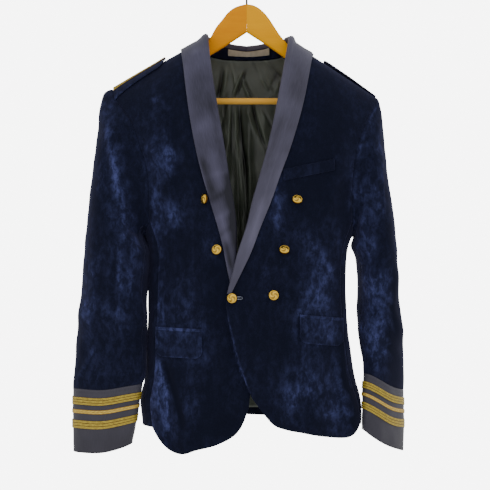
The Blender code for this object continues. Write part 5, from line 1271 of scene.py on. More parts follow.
for side, word in WORDS.items():
    points, cloth = armholes[side]
    grid, even = sleeve_rows(side, points, cloth)
    middle = grid.mean(axis=1, keepdims=True)
    normal = facing(grid, grid - middle, ring=True)
    front = ease(0.1, -0.5, normal[..., 1])
    back = ease(-0.1, 0.5, normal[..., 1])
    x, z = grid[..., 0], grid[..., 2]
    body_x = side * x
    down = np.linalg.norm(np.diff(grid, axis=0), axis=-1).cumsum(0)
    down = np.concatenate([np.zeros((1, grid.shape[1])), down])
    fade = ease(0.0, 0.012, down) * ease(0.0, 0.008, down[-1] - down)
    # Large creases across the arm, and the soft roll beside the armhole's seam
    large = sum(bell(z - height, width) * (high * front + low * back)
                for height, high, low, width in SLEEVE_CREASES[side])
    roll = 0.0012 * bell(down - 0.006, 0.0035) * (0.6 + 0.4 * np.cos(even * 9))
    relief = (large + creases(SLEEVE_FINE[side], x, z) * front
              + creases(SLEEVE_BACK, body_x, z) * back + 0.0005 * wobble(x, z, 0.045, 0.4))
    inside = ease(0.1, -0.6, side * normal[..., 0])
    relief = relief + inside * sum(depth * bell(z - height, spread)
                                   for depth, height, spread in INNER_FULLNESS[side])
    grid = grid + normal * (relief * fade + roll)[..., None]
    # Painted highlights and shade on the creases, lighter nap and painted light in patches, a
    # painted highlight on the roll along the armhole's seam, and an even lift on the back
    light = ((creases(SLEEVE_FINE[side], x, z, LIGHT_COLUMN)
              + patches(SLEEVE_NAP_AND_LIGHT[side], x, z)) * front
             + (creases(SLEEVE_BACK, body_x, z, LIGHT_COLUMN) + 0.10) * back
             + 0.35 * bell(down - 0.004, 0.002) * (1.0 if side == RIGHT else 0.4))
    bent = facing(grid, grid - middle, ring=True)
    bent[0] = unit(cloth * 0.6 + bent[0] * 0.4)
    bent[-1] = ring_normals(grid[-1])
    count = grid.shape[1]
    first = (len(FAN_SHARES) + len(CHEST_ROWS)) * FRONT_STEPS + SIDE_STEPS
    last = count - TOP_SLEEVE_BACK * BACK_STEPS
    top = np.arange(last - count, first + 1) % count
    under = np.arange(first, last + 1) % count
    for kind, chosen in (("top_sleeve", top), ("under_sleeve", under)):
        cut = draw_in(grid[:, chosen], FIRST_COLUMN, LAST_COLUMN)
        piece = wall(f"velvet_{kind}_{word}", cut, cut - WALL * bent[:, chosen], velvet,
                     {"brushed": light[:, chosen]})
        declare(f"{kind}_{word}", cut)


# Cuffs: folded grey satin with a fine weave, topstitched near both edges, and three
# rows of gilt cord braid sewn round each, whose ends lap under the arm.

# Cuff sections from the seam to the opening, with the same columns but the last
CUFF = {
    LEFT: (
        (-0.3021, -0.7389, -0.1795, -0.7304, -0.014, -0.045, 0.026),
        (-0.3023, -0.7740, -0.1850, -0.7640, -0.015, -0.046, 0.025),
        (-0.3022, -0.8110, -0.1905, -0.7990, -0.016, -0.048, 0.024),
        (-0.3012, -0.8465, -0.1965, -0.8315, -0.017, -0.050, 0.023),
    ),
    RIGHT: (
        (0.2776, -0.7405, 0.2020, -0.7125, 0.046, -0.042, 0.024),
        (0.2786, -0.7745, 0.2000, -0.7450, 0.048, -0.043, 0.023),
        (0.2791, -0.8100, 0.1995, -0.7780, 0.050, -0.044, 0.022),
        (0.2778, -0.8500, 0.1990, -0.8110, 0.050, -0.044, 0.021),
    ),
}
CUFF_LENGTH = 0.110
CUFF_DROOP = {LEFT: 0.0040, RIGHT: 0.0080}     # how far the front of its opening hangs lower
# Braid rows on each cuff: share of the cuff's length from its seam, width
BRAIDS = {"upper": (0.195, 0.0140), "middle": (0.365, 0.0070), "lower": (0.560, 0.0140)}
SATIN = 0.0022           # folded satin of the collar
BRAID = 0.0012           # metal braid
BRAID_GAP = 0.0004       # from the cloth to a braid sewn on it


def along_cloth(shade):
    """The cloth's own coordinates, across and along, in metres."""
    return shade.node("UVMap", {"uv_map": "cloth"})


def satin_weave(name, deep, light, rib_turn, stitched=None):
    """Closely woven satin: fine ribs across the cloth, slubs and a slight cloudiness."""
    satin = start(name)
    cloth = along_cloth(satin)
    across, along = cloth.part("X"), cloth.part("Y")
    turned = across * math.cos(rib_turn) + along * math.sin(rib_turn)
    ribs = (turned * 4200.0).sine() * 0.5 + 0.5
    slubs = cloth.scaled((900.0, 60.0, 1.0), (0.0, 0.0, -rib_turn)).noise(1.0, 3.0)
    clouds = place(satin).noise(18.0, 2.0)
    # Clouds and slubs, with the piece's lighter tone and its painted highlights and shade
    share = (clouds * 0.7 + slubs * 0.5 - 0.15 + carried(satin, "brushed")).clamp()
    height = ribs * 0.4 + slubs * 0.5
    if stitched:
        stitch = 0.0
        for distance in stitched:
            line = (along - distance) / 0.00055
            dash = ((across * 2450.0).sine() * 1.6 + 0.4).clamp()
            stitch = stitch + (1.0 - line * line).clamp() * dash
        height = height - stitch * 1.4
        share = (share - stitch * 0.5).clamp()
    colour = share.mix(deep, light)
    return finish(name, colour, 0.46 - share * 0.08, height, 0.30, 0.0006,
                  {"Sheen Weight": 0.08, "Anisotropic": 0.35, "Specular IOR Level": 0.28})


def gilt_cord(name, deep, bright):
    """Gilt thread wound in cords: painted highlights on the cords' crowns, painted shade of brown
    in the gaps, and painted glints.
    """
    gilt = start(name)
    crown = carried(gilt, "crown")
    cloth = along_cloth(gilt)
    threads = cloth.scaled((2600.0, 1500.0, 1.0)).noise(1.0)
    streaks = cloth.scaled((160.0, 800.0, 1.0)).noise(1.0, 3.0, 0.7)
    # Painted glints along the rows, on the cords' crowns only
    glints = ((streaks - 0.42) * 3.2).clamp()
    share = (crown * 1.25 + threads * 0.3 - 0.75 + glints * crown * 0.7).clamp()
    colour = gilt.node("ValToRGB", {"stops": [(0.0, deep), (0.55, tuple(
        (a + b) / 2 for a, b in zip(deep, bright))), (1.0, bright)]}, {"Fac": share})
    return finish(name, colour, 0.52 - threads * 0.2, threads, 0.25, 0.0003,
                  {"Metallic": 0.3, "Specular IOR Level": 0.5})


cuff_satin = satin_weave("cuff_satin", (0.030, 0.028, 0.042), (0.074, 0.070, 0.094), 0.5,
                         (0.0042, 0.0062, 0.103, 0.105))
braid_gilt = gilt_cord("braid_gilt", (0.11, 0.050, 0.0), (1.0, 0.77, 0.10))
fine_gilt = gilt_cord("fine_braid_gilt", (0.34, 0.18, 0.01), (1.0, 0.74, 0.17))
# Cords side by side in each braid, the twists of one round the cuff, points across it
CORDS = {"upper": (6, 110, 31), "middle": (2, 50, 11), "lower": (6, 110, 31)}
CUFF_ROWS, CUFF_POINTS = 28, 300


def wound(turns, phase):
    """0 to 1 along the threads of cords side by side, each wound against the next."""
    lean = np.where(np.floor(phase) % 2 == 0, 1.0, -1.0)
    return 0.5 + 0.5 * np.cos(2 * np.pi * (turns + lean * phase))


def cuff_ring(side, share, out=0.0):
    """A ring of the cuff at a share of its length, moved out by a distance."""
    table = np.array(CUFF[side])
    row = row_at(table, share * (len(table) - 1), 7)
    angles = circle(CUFF_POINTS)
    ring = sleeve_ring(row, angles)
    ring[:, 2] -= CUFF_DROOP[side] * share ** 2 * np.sin(angles)
    return sagged(side, ring, angles) + out * ring_normals(ring)


def braid(name, node, base, normal, height, material, ring=False):
    """A braid on the cloth: its foot, and cords that stand up by a height of 0 to 1."""
    outer = base + normal * (BRAID * (0.25 + 0.75 * height))[..., None]
    # The height also sets the gilt's painted highlights and painted shade
    piece = wall(name, outer, base, material, {"crown": height}, ring)
    declare(node, base, ring)


for side, word in WORDS.items():
    shares = np.linspace(0, 1, CUFF_ROWS)
    outer = np.array([cuff_ring(side, share) for share in shares])
    normal = facing(outer, outer - outer.mean(axis=1, keepdims=True), ring=True)
    x, z = outer[..., 0], outer[..., 2]
    pinch = ease(0.0, 0.06, shares)[:, None] * ease(1.0, 0.94, shares)[:, None]
    outer = outer + normal * (0.0005 * wobble(x, z, 0.035) * pinch)[..., None]
    piece = wall("satin_cuff_" + word, outer, outer - SATIN * normal, cuff_satin,
                 {"brushed": 0.10 - 0.34 * shares[:, None]}, ring=True)
    declare("cuff_" + word, outer, True)
    for row, (share, width) in BRAIDS.items():
        cords, turns, points = CORDS[row]
        across = np.linspace(-0.5, 0.5, points)
        spots = share + across * width / CUFF_LENGTH
        base = np.array([cuff_ring(side, spot, BRAID_GAP) for spot in spots])
        normal = np.array([ring_normals(ring) for ring in base])
        around = np.arange(base.shape[1]) / base.shape[1]
        phase = (across + 0.5) * cords
        crown = (0.45 * np.abs(np.sin(np.pi * phase)) ** 0.8
                 + 0.55 * np.abs(np.sin(np.pi * phase / 2)) ** 0.6)
        twist = wound(turns * around[None, :], phase[:, None])
        braid(f"gilt_braid_{row}_{word}", f"braid_{row}_{word}", base, normal,
              crown[:, None] * (0.80 + 0.20 * twist),
              fine_gilt if row == "middle" else braid_gilt, True)


# Pockets: a breast welt, and on each hip a narrow jet over a flap with rounded lower
# corners, all of the same velvet, laid on the fronts.

TRIM = 0.0016            # flaps, jets, straps
REST = 0.0006            # gap under what lies on a curved panel
# Corners as x and z on the front, and how far each piece hangs down
WELT = {"side": RIGHT, "inner": (0.0625, -0.3622), "outer": (0.1500, -0.3440), "depth": 0.0190}
FLAPS = {
    LEFT: {"inner": (-0.0766, -0.6400), "outer": (-0.1555, -0.6370), "depth": 0.0450},
    RIGHT: {"inner": (0.0905, -0.6150), "outer": (0.1655, -0.6225), "depth": 0.0430},
}
JET_DEPTH = 0.005
FLAP_CORNER = 0.013


def normals(point, first, second, outward):
    """Unit normals of a surface, turned to the side that outward gives."""
    step = 2e-4
    along = point(first + step, second) - point(first - step, second)
    up = point(first, second + step) - point(first, second - step)
    normal = unit(np.cross(along, up))
    return normal * np.sign((normal * outward).sum(-1, keepdims=True))


def patch(point, corners, depth, rows, columns, corner=0.0):
    """A grid on a panel: top edge between two corners, hanging down by depth.

    With a corner size, the lower corners are rounded off."""
    (inner_x, inner_z), (outer_x, outer_z) = corners
    u = np.linspace(0, 1, columns + 1)
    u = 0.3 * u + 0.35 * (1 - np.cos(math.pi * u))
    v = np.linspace(0, 1, rows + 1)[:, None]
    length = abs(outer_x - inner_x)
    from_end = np.minimum(u, 1 - u) * length
    cut = corner - np.sqrt(np.clip(corner**2 - np.clip(corner - from_end, 0, None) ** 2, 0, None))
    lean = 0.06 * (outer_z - inner_z) / length
    x = inner_x + (outer_x - inner_x) * u + lean * v * depth
    z = inner_z + (outer_z - inner_z) * u - v * (depth - cut)
    return x, z, point(x, z)


def laid(name, side, corners, depth, gap, node, rows, columns, corner=0.0, light=0.1,
         edge_highlight=0.0):
    """A small velvet piece on a front, from the front's points moved out, lighter by a given
    amount, with painted highlights along its lower edge and sides.
    """
    point = front_point(side)
    x, z, bed = patch(point, corners, depth, rows, columns, corner)
    normal = normals(point, x, z, FORWARDS)
    across, along = np.linspace(0, 1, columns + 1), np.linspace(0, 1, rows + 1)[:, None]
    puff = 0.0006 * np.sin(np.pi * along) + 0.0002 * wobble(x, z, 0.03)
    rim = np.minimum(np.minimum(across, 1 - across) * 14, 1.0)
    relief = creases(FRONT_CREASES, x, z)
    inner = bed + normal * (gap + relief)[..., None]
    outer = inner + normal * (TRIM + puff * rim)[..., None]
    side_ends = np.minimum(across, 1 - across) * abs(corners[1][0] - corners[0][0])
    # Painted highlight along the lower edge and the ends, with the front's painted crease light and
    # its patches
    shine = light + edge_highlight * (bell((1 - along) * depth, 0.0014) + bell(side_ends, 0.0018))
    shine = (shine + creases(FRONT_CREASES, x, z, LIGHT_COLUMN)
             + 0.8 * patches(FRONT_NAP_AND_LIGHT, x, z))
    piece = wall(name, outer, inner, velvet, {"brushed": shine + 0 * x})
    declare(node, inner)


laid("velvet_breast_welt", WELT["side"], (WELT["inner"], WELT["outer"]), WELT["depth"], REST,
     "breast_welt", 14, 60, light=0.06)
for side, word in WORDS.items():
    flap = FLAPS[side]
    corners = (flap["inner"], flap["outer"])
    laid("velvet_flap_" + word, side, corners, flap["depth"], 1.6 * REST, "flap_" + word,
         30, 60, FLAP_CORNER, 0.08 if side == LEFT else 0.14, 0.35)
    lift = JET_DEPTH + SEAM
    raised = tuple((x, z + lift) for x, z in corners)
    # The jet is painted light all over, as a highlight on its narrow lip
    laid("velvet_jet_" + word, side, raised, JET_DEPTH, REST, "jet_" + word, 8, 60, light=0.55)


# Shawl collar: satin folded over the front's edge and the neck, in two halves that are
# joined at the middle of the back; its fall lies on the fronts with a rolled edge.

# Collar, from the end of its lapel to the middle of the neck. The fall lies on the panel
# from the panel's edge to the outer point, and a stand rises from the edge to the roll.
LAPEL = {
    # edge z  outer x  outer z   rise: in, back, up
    LEFT: (
        (-0.5560, -0.0278, -0.5560, 0.0, 0.0, 0.0),
        (-0.5300, -0.0335, -0.5300, 0.0, 0.0, 0.0),
        (-0.4950, -0.0402, -0.4950, 0.0, 0.0, 0.0),
        (-0.4600, -0.0493, -0.4600, 0.0, 0.0, 0.0),
        (-0.4200, -0.0612, -0.4200, 0.0, 0.0, 0.0),
        (-0.3750, -0.0744, -0.3750, 0.0, 0.0, 0.0),
        (-0.3300, -0.0860, -0.3300, 0.0, 0.0, 0.0),
        (-0.2911, -0.0940, -0.2890, 0.0, 0.0, 0.0),
        (-0.2562, -0.0998, -0.2520, 0.0005, 0.0, 0.0),
        (-0.2231, -0.1045, -0.2170, 0.0012, -0.0003, 0.0005),
        (-0.1940, -0.1080, -0.1880, 0.0025, -0.0008, 0.0015),
        (-0.1707, -0.1108, -0.1690, 0.0050, -0.0010, 0.0035),
        (-0.1571, -0.1122, -0.1610, 0.0072, -0.0008, 0.0058),
        (-0.1464, -0.1130, -0.1562, 0.0090, -0.0006, 0.0080),
        (-0.1396, -0.1133, -0.1538, 0.0100, -0.0003, 0.0096),
    ),
    RIGHT: (
        (-0.5740, -0.0268, -0.5740, 0.0, 0.0, 0.0),
        (-0.5425, -0.0115, -0.5425, 0.0, 0.0, 0.0),
        (-0.5071, 0.0054, -0.5071, 0.0, 0.0, 0.0),
        (-0.4590, 0.0238, -0.4590, 0.0, 0.0, 0.0),
        (-0.4152, 0.0417, -0.4152, 0.0, 0.0, 0.0),
        (-0.3700, 0.0575, -0.3700, 0.0, 0.0, 0.0),
        (-0.3300, 0.0725, -0.3300, 0.0, 0.0, 0.0),
        (-0.2918, 0.0850, -0.2900, 0.0, 0.0, 0.0),
        (-0.2575, 0.0945, -0.2550, 0.0003, 0.0, 0.0),
        (-0.2251, 0.1020, -0.2210, 0.0008, -0.0003, 0.0005),
        (-0.1965, 0.1075, -0.1920, 0.0015, -0.0008, 0.0015),
        (-0.1735, 0.1110, -0.1735, 0.0028, -0.0010, 0.0035),
        (-0.1602, 0.1128, -0.1668, 0.0034, -0.0008, 0.0058),
        (-0.1497, 0.1140, -0.1628, 0.0040, -0.0006, 0.0080),
        (-0.1430, 0.1145, -0.1606, 0.0044, -0.0003, 0.0095),
    ),
}
COLLAR_SHOULDER = {LEFT: (0.1132, 0.0105, 0.0105), RIGHT: (0.1146, 0.0045, 0.0100)}
COLLAR_BACK = (
    # edge x  outer x  outer z   rise: in, back, up
    (0.0814, 0.1115, -0.1560, 0.0090, -0.0006, 0.0104),
    (0.0765, 0.1040, -0.1610, 0.0080, -0.0010, 0.0110),
    (0.0655, 0.0880, -0.1670, 0.0060, -0.0030, 0.0125),
    (0.0480, 0.0625, -0.1725, 0.0035, -0.0045, 0.0135),
    (0.0260, 0.0330, -0.1765, 0.0015, -0.0050, 0.0110),
    (0.0002, 0.0002, -0.1778, 0.0000, -0.0050, 0.0092),
)
TURN_IN = 0.007          # the collar's inner ply past the panel's edge
FALL_POINTS = 6
FALL_BULGE = 0.0016
COLLAR_SLACK = (0.0012, 3.4)    # how far it stands off at the shoulder, spread in stations
COLLAR_OFFSET = WALL / 2 + 1.15 * REST + SATIN / 2
COLLAR_HALF_GAP = 0.0002     # from the middle of the neck to each half


def shoulder_point(x, z):
    """The shoulder line itself, where the front and the back meet."""
    return points_of(x, 0.0, shoulder_z(x))


def collar_normals(grid, column):
    """Normals of a half collar, outwards at a column of its lapel's end, and without a
    sideways part at the middle of the neck."""
    normal = unit(np.cross(np.gradient(grid, axis=0), np.gradient(grid, axis=1)))
    normal *= np.sign(-normal[0, column, 1])
    normal[-1, :, 0] = 0.0
    normal[-1] = unit(normal[-1])
    return normal


def collar_stations(side):
    """The collar's bed as stations: samplers of its middle and normal, climb and width."""
    front = front_point(side)
    stations = []
    rows = front_rows(side)
    for edge_z, outer_x, outer_z, *rise in LAPEL[side]:
        edge_x = float(np.interp(edge_z, rows, smooth(FRONT_EDGE[side], rows)))
        stations.append((front, edge_x, edge_z, outer_x, outer_z, rise))
    reach, rise_in, rise_up = COLLAR_SHOULDER[side]
    stations.append((shoulder_point, side * NECK_X, SHOULDER[side]["neck_z"], side * reach,
                     float(shoulder_z(np.array(side * reach))), (rise_in, 0.0, rise_up)))
    neck_x, neck_z = zip(*neckline(side))
    for edge_x, outer_x, outer_z, *rise in COLLAR_BACK:
        stations.append((back_point, side * edge_x, float(np.interp(edge_x, neck_x, neck_z)),
                         side * outer_x, outer_z, rise))
    grid, sizes = [], []
    fine = np.linspace(0, 1, 25)
    for surface, edge_x, edge_z, outer_x, outer_z, (rise_in, rise_back, rise_up) in stations:
        panel = surface(edge_x + (outer_x - edge_x) * fine, edge_z + (outer_z - edge_z) * fine)
        rise = np.array([-side * rise_in, rise_back, rise_up])
        climb = np.linalg.norm(rise)
        whole = panel
        if climb > 0:
            whole = np.concatenate([panel[0] + np.linspace(1, 0, 9)[:-1, None] * rise, panel])
        length = np.concatenate([[0], np.cumsum(np.linalg.norm(np.diff(whole, axis=0), axis=1))])
        even = np.linspace(0, length[-1], 41)
        grid.append(sampled(even, length, whole))
        sizes.append((climb, length[-1]))
    grid = np.array(grid)
    normal = collar_normals(grid, 20)
    return grid - normal * WALL / 2, normal, sizes


def bed_at(grid, normal, whole, distance):
    """Place and normal on one station's bed at a distance from the roll."""
    place = np.clip(distance / whole, 0, 1) * (len(grid) - 1)
    samples = np.arange(len(grid))
    return sampled(place, samples, grid), unit(sampled(place, samples, normal))


def collar_rows(side):
    """The collar's middle surface: turned-in ply, roll and fall, a row for each station."""
    rows = []
    for k, (grid, normal, (climb, whole)) in enumerate(zip(*collar_stations(side))):
        at_shoulder = bell(k - len(LAPEL[side]), COLLAR_SLACK[1])
        offset = COLLAR_OFFSET + COLLAR_SLACK[0] * at_shoulder
        top, up = bed_at(grid, normal, whole, 0.0)
        inward = -unit(grid[2] - grid[0])
        turn = min(climb + TURN_IN, 0.7 * whole + 0.002)
        row = []
        for share in (1.0, 0.5):
            spot, way = bed_at(grid, normal, whole, turn * share)
            row.append(spot - way * offset)
        for turned in (-90, -45, 0, 45, 90):
            angle = math.radians(turned)
            row.append(top + offset * (inward * math.cos(angle) + up * math.sin(angle)))
        for j in range(1, FALL_POINTS + 1):
            share = j / FALL_POINTS
            spot, way = bed_at(grid, normal, whole, whole * share)
            bulge = FALL_BULGE * math.sin(math.pi * share) * min(whole / 0.04, 1.0)
            bulge *= 1 - 0.8 * at_shoulder
            row.append(spot + way * (offset + bulge))
        rows.append(row)
    return np.array(rows)


# The left half's satin is painted darker than the right half's: painted shade on a copy of one
# satin
collar_satin = {
    LEFT: satin_weave("collar_satin_shaded_left", (0.008, 0.008, 0.018), (0.104, 0.099, 0.172), 0.7),
    RIGHT: satin_weave("collar_satin_lit_right", (0.032, 0.030, 0.050), (0.118, 0.113, 0.178), 0.7),
}
# Ripples of the fall, with painted highlights where its satin catches the light and painted
# shade below 0, from x, z to x, z
COLLAR_RIPPLES = {
    LEFT: (
        (-0.0793, -0.3357, -0.0554, -0.4107, 0.0055, -0.001, -0.34, 0),
        (-0.0640, -0.3289, -0.0384, -0.4072, 0.006, 0.0009, 0.16, 0),
        (-0.0725, -0.3766, -0.0248, -0.3630, 0.004, 0.0007, 0.12, 0),
        (-0.0657, -0.4209, -0.0214, -0.3936, 0.0045, -0.0008, -0.2, 0.002),
        (-0.0588, -0.4515, -0.0180, -0.4277, 0.004, 0.0007, 0.16, 0),
        (-0.0520, -0.4788, -0.0180, -0.4549, 0.004, -0.0007, -0.22, 0),
        (-0.0316, -0.3596, -0.0146, -0.5197, 0.008, -0.0004, -0.75, 0.001),
        (-0.0469, -0.4311, -0.0299, -0.4924, 0.004, 0.0005, 0.26, 0),
        (-0.0367, -0.4822, -0.0248, -0.5367, 0.003, -0.0004, -0.35, 0),
        (-0.0844, -0.3391, -0.0299, -0.5367, 0.0013, 0.0005, 0.6, -0.001),
        (-0.0861, -0.1790, -0.0759, -0.2948, 0.016, 0.0002, -0.2, 0),
        (-0.1065, -0.1756, -0.0963, -0.2778, 0.006, 0.0005, 0.15, 0),
        (-0.0657, -0.2267, -0.0384, -0.3630, 0.005, -0.0005, -0.18, 0),
        (-0.0963, -0.1620, -0.0554, -0.1517, 0.005, 0.0005, 0.15, 0),
        (-0.0861, -0.2948, -0.0554, -0.2744, 0.007, 0.0005, 0.14, 0),
    ),
    RIGHT: (
        (0.0979, -0.1688, 0.0774, -0.3050, 0.016, 0.0005, -0.22, 0),
        (0.0672, -0.3289, 0.0365, -0.4481, 0.006, 0.0006, 0.22, 0),
        (0.0297, -0.4072, 0.0025, -0.5026, 0.006, 0.0006, 0.42, 0),
        (0.1013, -0.1756, -0.0180, -0.5640, 0.0016, 0.0004, 0.08, 0),
        (0.0638, -0.2608, 0.0263, -0.3766, 0.004, -0.0005, -0.18, 0),
        (0.0195, -0.4754, -0.0112, -0.5435, 0.004, 0.0005, 0.12, 0),
    ),
}
COLLAR_ROWS, COLLAR_POINTS = 190, 44
across = np.linspace(0, 1, COLLAR_POINTS)
end = np.linspace(0, 1, COLLAR_ROWS)[:, None]
for side, word in WORDS.items():
    rows = between(collar_rows(side), COLLAR_ROWS)
    middle = between(rows.transpose(1, 0, 2), COLLAR_POINTS).transpose(1, 0, 2)
    middle[-1, :, 0] = side * COLLAR_HALF_GAP
    normal = collar_normals(middle, -4)
    x, z = middle[..., 0], middle[..., 2]
    shown = ease(0.30, 0.48, across) * ease(0.02, -0.02, middle[..., 1])
    relief = creases(COLLAR_RIPPLES[side], x, z) * shown
    middle = middle + normal * (np.maximum(relief, -0.0006) * ease(0, 0.06, end)
                                * ease(1, 0.9, end))[..., None]
    middle = draw_in(middle, LAST_ROW)
    # Painted highlights and shade of the ripples, kept off the turned-in ply
    light = creases(COLLAR_RIPPLES[side], x, z, LIGHT_COLUMN) * ease(0.08, 0.16, across)
    piece = wall("satin_collar_" + word, middle + normal * SATIN / 2, middle - normal * SATIN / 2,
                 collar_satin[side], {"brushed": light})
    declare("collar_" + word, middle)


# Neck band: a strip of velvet sewn inside the collar's stand. A woven label of pale
# thread is stitched on its middle and left bare.

# Ends in x, the shares of the band's depth that it covers, and its thickness
LABEL = {"left": -0.0330, "right": 0.0400, "rows": (0.05, 0.80), "thick": 0.0006}

bands = []
for side in (LEFT, RIGHT):
    stations = list(zip(*collar_stations(side)))[-4:]
    for grid, normal, (climb, whole) in stations if side == LEFT else stations[-2::-1]:
        bands.append([np.concatenate(bed_at(grid, normal, whole, (climb + TURN_IN - 0.001) * share))
                      for share in (0.20, 0.60, 1.0)])
bands = np.array(bands)
bands[3, :, 0] = 0.0
bands = between(between(bands, 90).transpose(1, 0, 2), 12)
spots, ways = bands[..., :3], unit(bands[..., 3:])
depth = COLLAR_OFFSET + SATIN / 2 + REST
outer = spots - ways * depth
piece = wall("velvet_neck_band", outer, outer - ways * TRIM, velvet,
             {"brushed": 0.05 + 0.1 * wobble(spots[..., 0], spots[..., 2], 0.03)})
declare("neck_band", outer)

woven = start("woven_label")
cloth = along_cloth(woven)
threads = ((cloth.part("X") * 9000.0).sine() + (cloth.part("Y") * 9000.0).sine()) * 0.25 + 0.5
faded = place(woven).noise(160.0, 3.0)
label_finish = finish("woven_label", (faded * 0.8 + threads * 0.3 - 0.1).clamp().mix(
    (0.32, 0.28, 0.21), (0.66, 0.60, 0.49)), 0.75, threads, 0.3, 0.0003)
x = np.linspace(LABEL["left"], LABEL["right"], 61)
label, out = [], []
for share in np.linspace(*LABEL["rows"], 12):
    row = spots[0] + (spots[-1] - spots[0]) * share
    way = unit(ways[0] + (ways[-1] - ways[0]) * share)
    row = row - way * (depth + TRIM + REST)
    label.append(sampled(x, row[:, 0], row))
    out.append(sampled(x, row[:, 0], way))
label, out = np.array(label), unit(np.array(out))
piece = wall("woven_neck_label", label, label - out * LABEL["thick"], label_finish)
declare("neck_label", label)


# Lining of the back: dark green satin, cut wide, so that it hangs in long creases below
# the neck and round the trouser bar.

LINING = 0.0010
LINING_ROWS, LINING_POINTS = 180, 105
LINING_BOTTOM = -0.780
LINING_DROP = 0.0120     # its top edge below the neck's edge
LINING_SLACK = 0.0050
LINING_WIDTHS = ((0.0, 0.135), (0.5, 0.135), (0.75, 0.145), (0.88, 0.120), (1.0, 0.064))
# Large folds, and fine creases with painted highlights and shade along them, in the same
# columns as those of the fronts
LINING_FOLDS = (
    (-0.045, -0.500, -0.030, -0.190, 0.007, 0.0050),
    (-0.018, -0.620, -0.012, -0.175, 0.006, -0.0035),
    (0.008, -0.700, 0.006, -0.170, 0.007, 0.0060),
    (0.030, -0.480, 0.034, -0.185, 0.006, 0.0045),
    (0.055, -0.420, 0.050, -0.200, 0.007, -0.0035),
)
LINING_CREASES = (
    (-0.0438, -0.1701, -0.0528, -0.2310, 0.0026, -0.0026, -0.8, 0.002),
    (-0.0366, -0.1666, -0.0438, -0.2274, 0.003, 0.0018, 0.35, 0.002),
    (-0.0062, -0.1773, -0.0259, -0.2256, 0.002, 0.0022, 0.6, -0.001),
    (-0.0008, -0.1773, -0.0187, -0.2256, 0.0022, -0.0024, -0.8, -0.001),
    (-0.0098, -0.1898, 0.0081, -0.2328, 0.0018, 0.002, 0.6, -0.001),
    (-0.0062, -0.1952, 0.0135, -0.2310, 0.0018, -0.002, -0.6, -0.001),
    (0.0099, -0.2328, 0.0350, -0.3206, 0.0022, -0.0032, -1.2, -0.003),
    (0.0153, -0.2364, 0.0422, -0.3206, 0.003, 0.0014, 0.3, -0.003),
    (-0.0295, -0.2436, -0.0331, -0.3206, 0.0018, 0.002, 0.7, 0),
    (-0.0259, -0.2453, -0.0277, -0.3313, 0.0014, -0.002, -0.8, 0),
    (-0.0205, -0.2436, -0.0169, -0.3385, 0.0017, 0.002, 0.7, 0),
    (-0.0134, -0.2436, -0.0008, -0.3671, 0.0024, -0.0026, -1, -0.001),
    (-0.0169, -0.3027, -0.0098, -0.4101, 0.0016, 0.0018, 0.8, 0),
    (-0.0026, -0.3206, 0.0010, -0.5176, 0.0034, -0.0026, -0.8, 0),
    (-0.0384, -0.2382, -0.0456, -0.2847, 0.0024, -0.0018, -0.6, 0.001),
    (0.0063, -0.3564, 0.0063, -0.4638, 0.0026, 0.0014, 0.4, 0),
    (0.0386, -0.1666, 0.0672, -0.2167, 0.005, -0.0014, -0.4, 0.003),
    (0.0529, -0.2167, 0.0278, -0.1701, 0.004, 0.001, 0.15, 0.002),
    (-0.0331, -0.1594, -0.0116, -0.1701, 0.003, 0.0012, 0.3, 0.002),
    (-0.0295, -0.1612, -0.0205, -0.2060, 0.0016, 0.0018, 0.6, 0.001),
    (0.0081, -0.1594, 0.0278, -0.1952, 0.0022, -0.0016, -0.4, 0),
    (0.0171, -0.1701, 0.0386, -0.2131, 0.0022, 0.0016, 0.45, -0.002),
    (0.0278, -0.1576, 0.0565, -0.1827, 0.0018, 0.0016, 0.5, 0.002),
    (0.0350, -0.1594, 0.0636, -0.1934, 0.0016, -0.0018, -0.5, 0.001),
    (0.0547, -0.1809, 0.0386, -0.2185, 0.0018, -0.0018, -0.5, 0.001),
    (0.0619, -0.1880, 0.0475, -0.2239, 0.0016, 0.0016, 0.45, 0.001),
    (-0.0008, -0.2489, 0.0171, -0.2955, 0.0016, 0.0016, 0.5, 0),
    (0.0278, -0.2453, 0.0493, -0.2883, 0.002, -0.0014, -0.4, 0),
    (-0.0438, -0.2453, -0.0366, -0.3062, 0.0016, 0.0016, 0.5, 0),
    (-0.0044, -0.3671, -0.0008, -0.4423, 0.0015, 0.0018, 0.7, 0),
    (-0.0152, -0.4101, -0.0116, -0.4746, 0.0014, -0.0016, -0.5, 0),
    (0.0225, -0.2453, 0.0314, -0.3241, 0.008, 0.0004, 0.55, 0),
    (-0.0062, -0.3385, -0.0062, -0.4746, 0.005, 0.0002, 0.3, 0),
)
silk = start("lining_silk")
cloth = along_cloth(silk)
warp = cloth.scaled((1500.0, 30.0, 1.0)).noise(1.0)
clouds = place(silk).noise(30.0, 2.0)
# Painted highlights and shade of the creases, over clouds and warp
share = (clouds * 0.34 + warp * 0.20 + 0.09 + carried(silk, "brushed") * 0.46).clamp()
lining_finish = finish("lining_silk", share.mix((0.0060, 0.0078, 0.0060), (0.200, 0.230, 0.180)),
                       0.36 - warp * 0.08, warp, 0.12, 0.0003, {"Anisotropic": 0.3})
rows = np.linspace(0, 1, LINING_ROWS)[:, None]
share = np.linspace(-1, 1, LINING_POINTS)
share = 0.6 * share + 0.4 * share ** 3      # columns lie closer together in the middle
x = share * smooth(LINING_WIDTHS, rows)
neck = smooth(NECKLINE, np.abs(x)) - LINING_DROP
z = LINING_BOTTOM + (neck - LINING_BOTTOM) * rows
normal = normals(back_point, x, z, -FORWARDS)
settled = 0.30 + 0.70 * ease(0.012, -0.004, x)
folds = (fold_height(LINING_FOLDS, x, z) * settled + creases(LINING_CREASES, x, z)
         + 0.0006 * wobble(x, z * 0.5, 0.03)) * ease(1.0, 0.93, rows)
slack = np.maximum(LINING_SLACK * ease(1.02, 0.8, rows) + folds, 0.0)
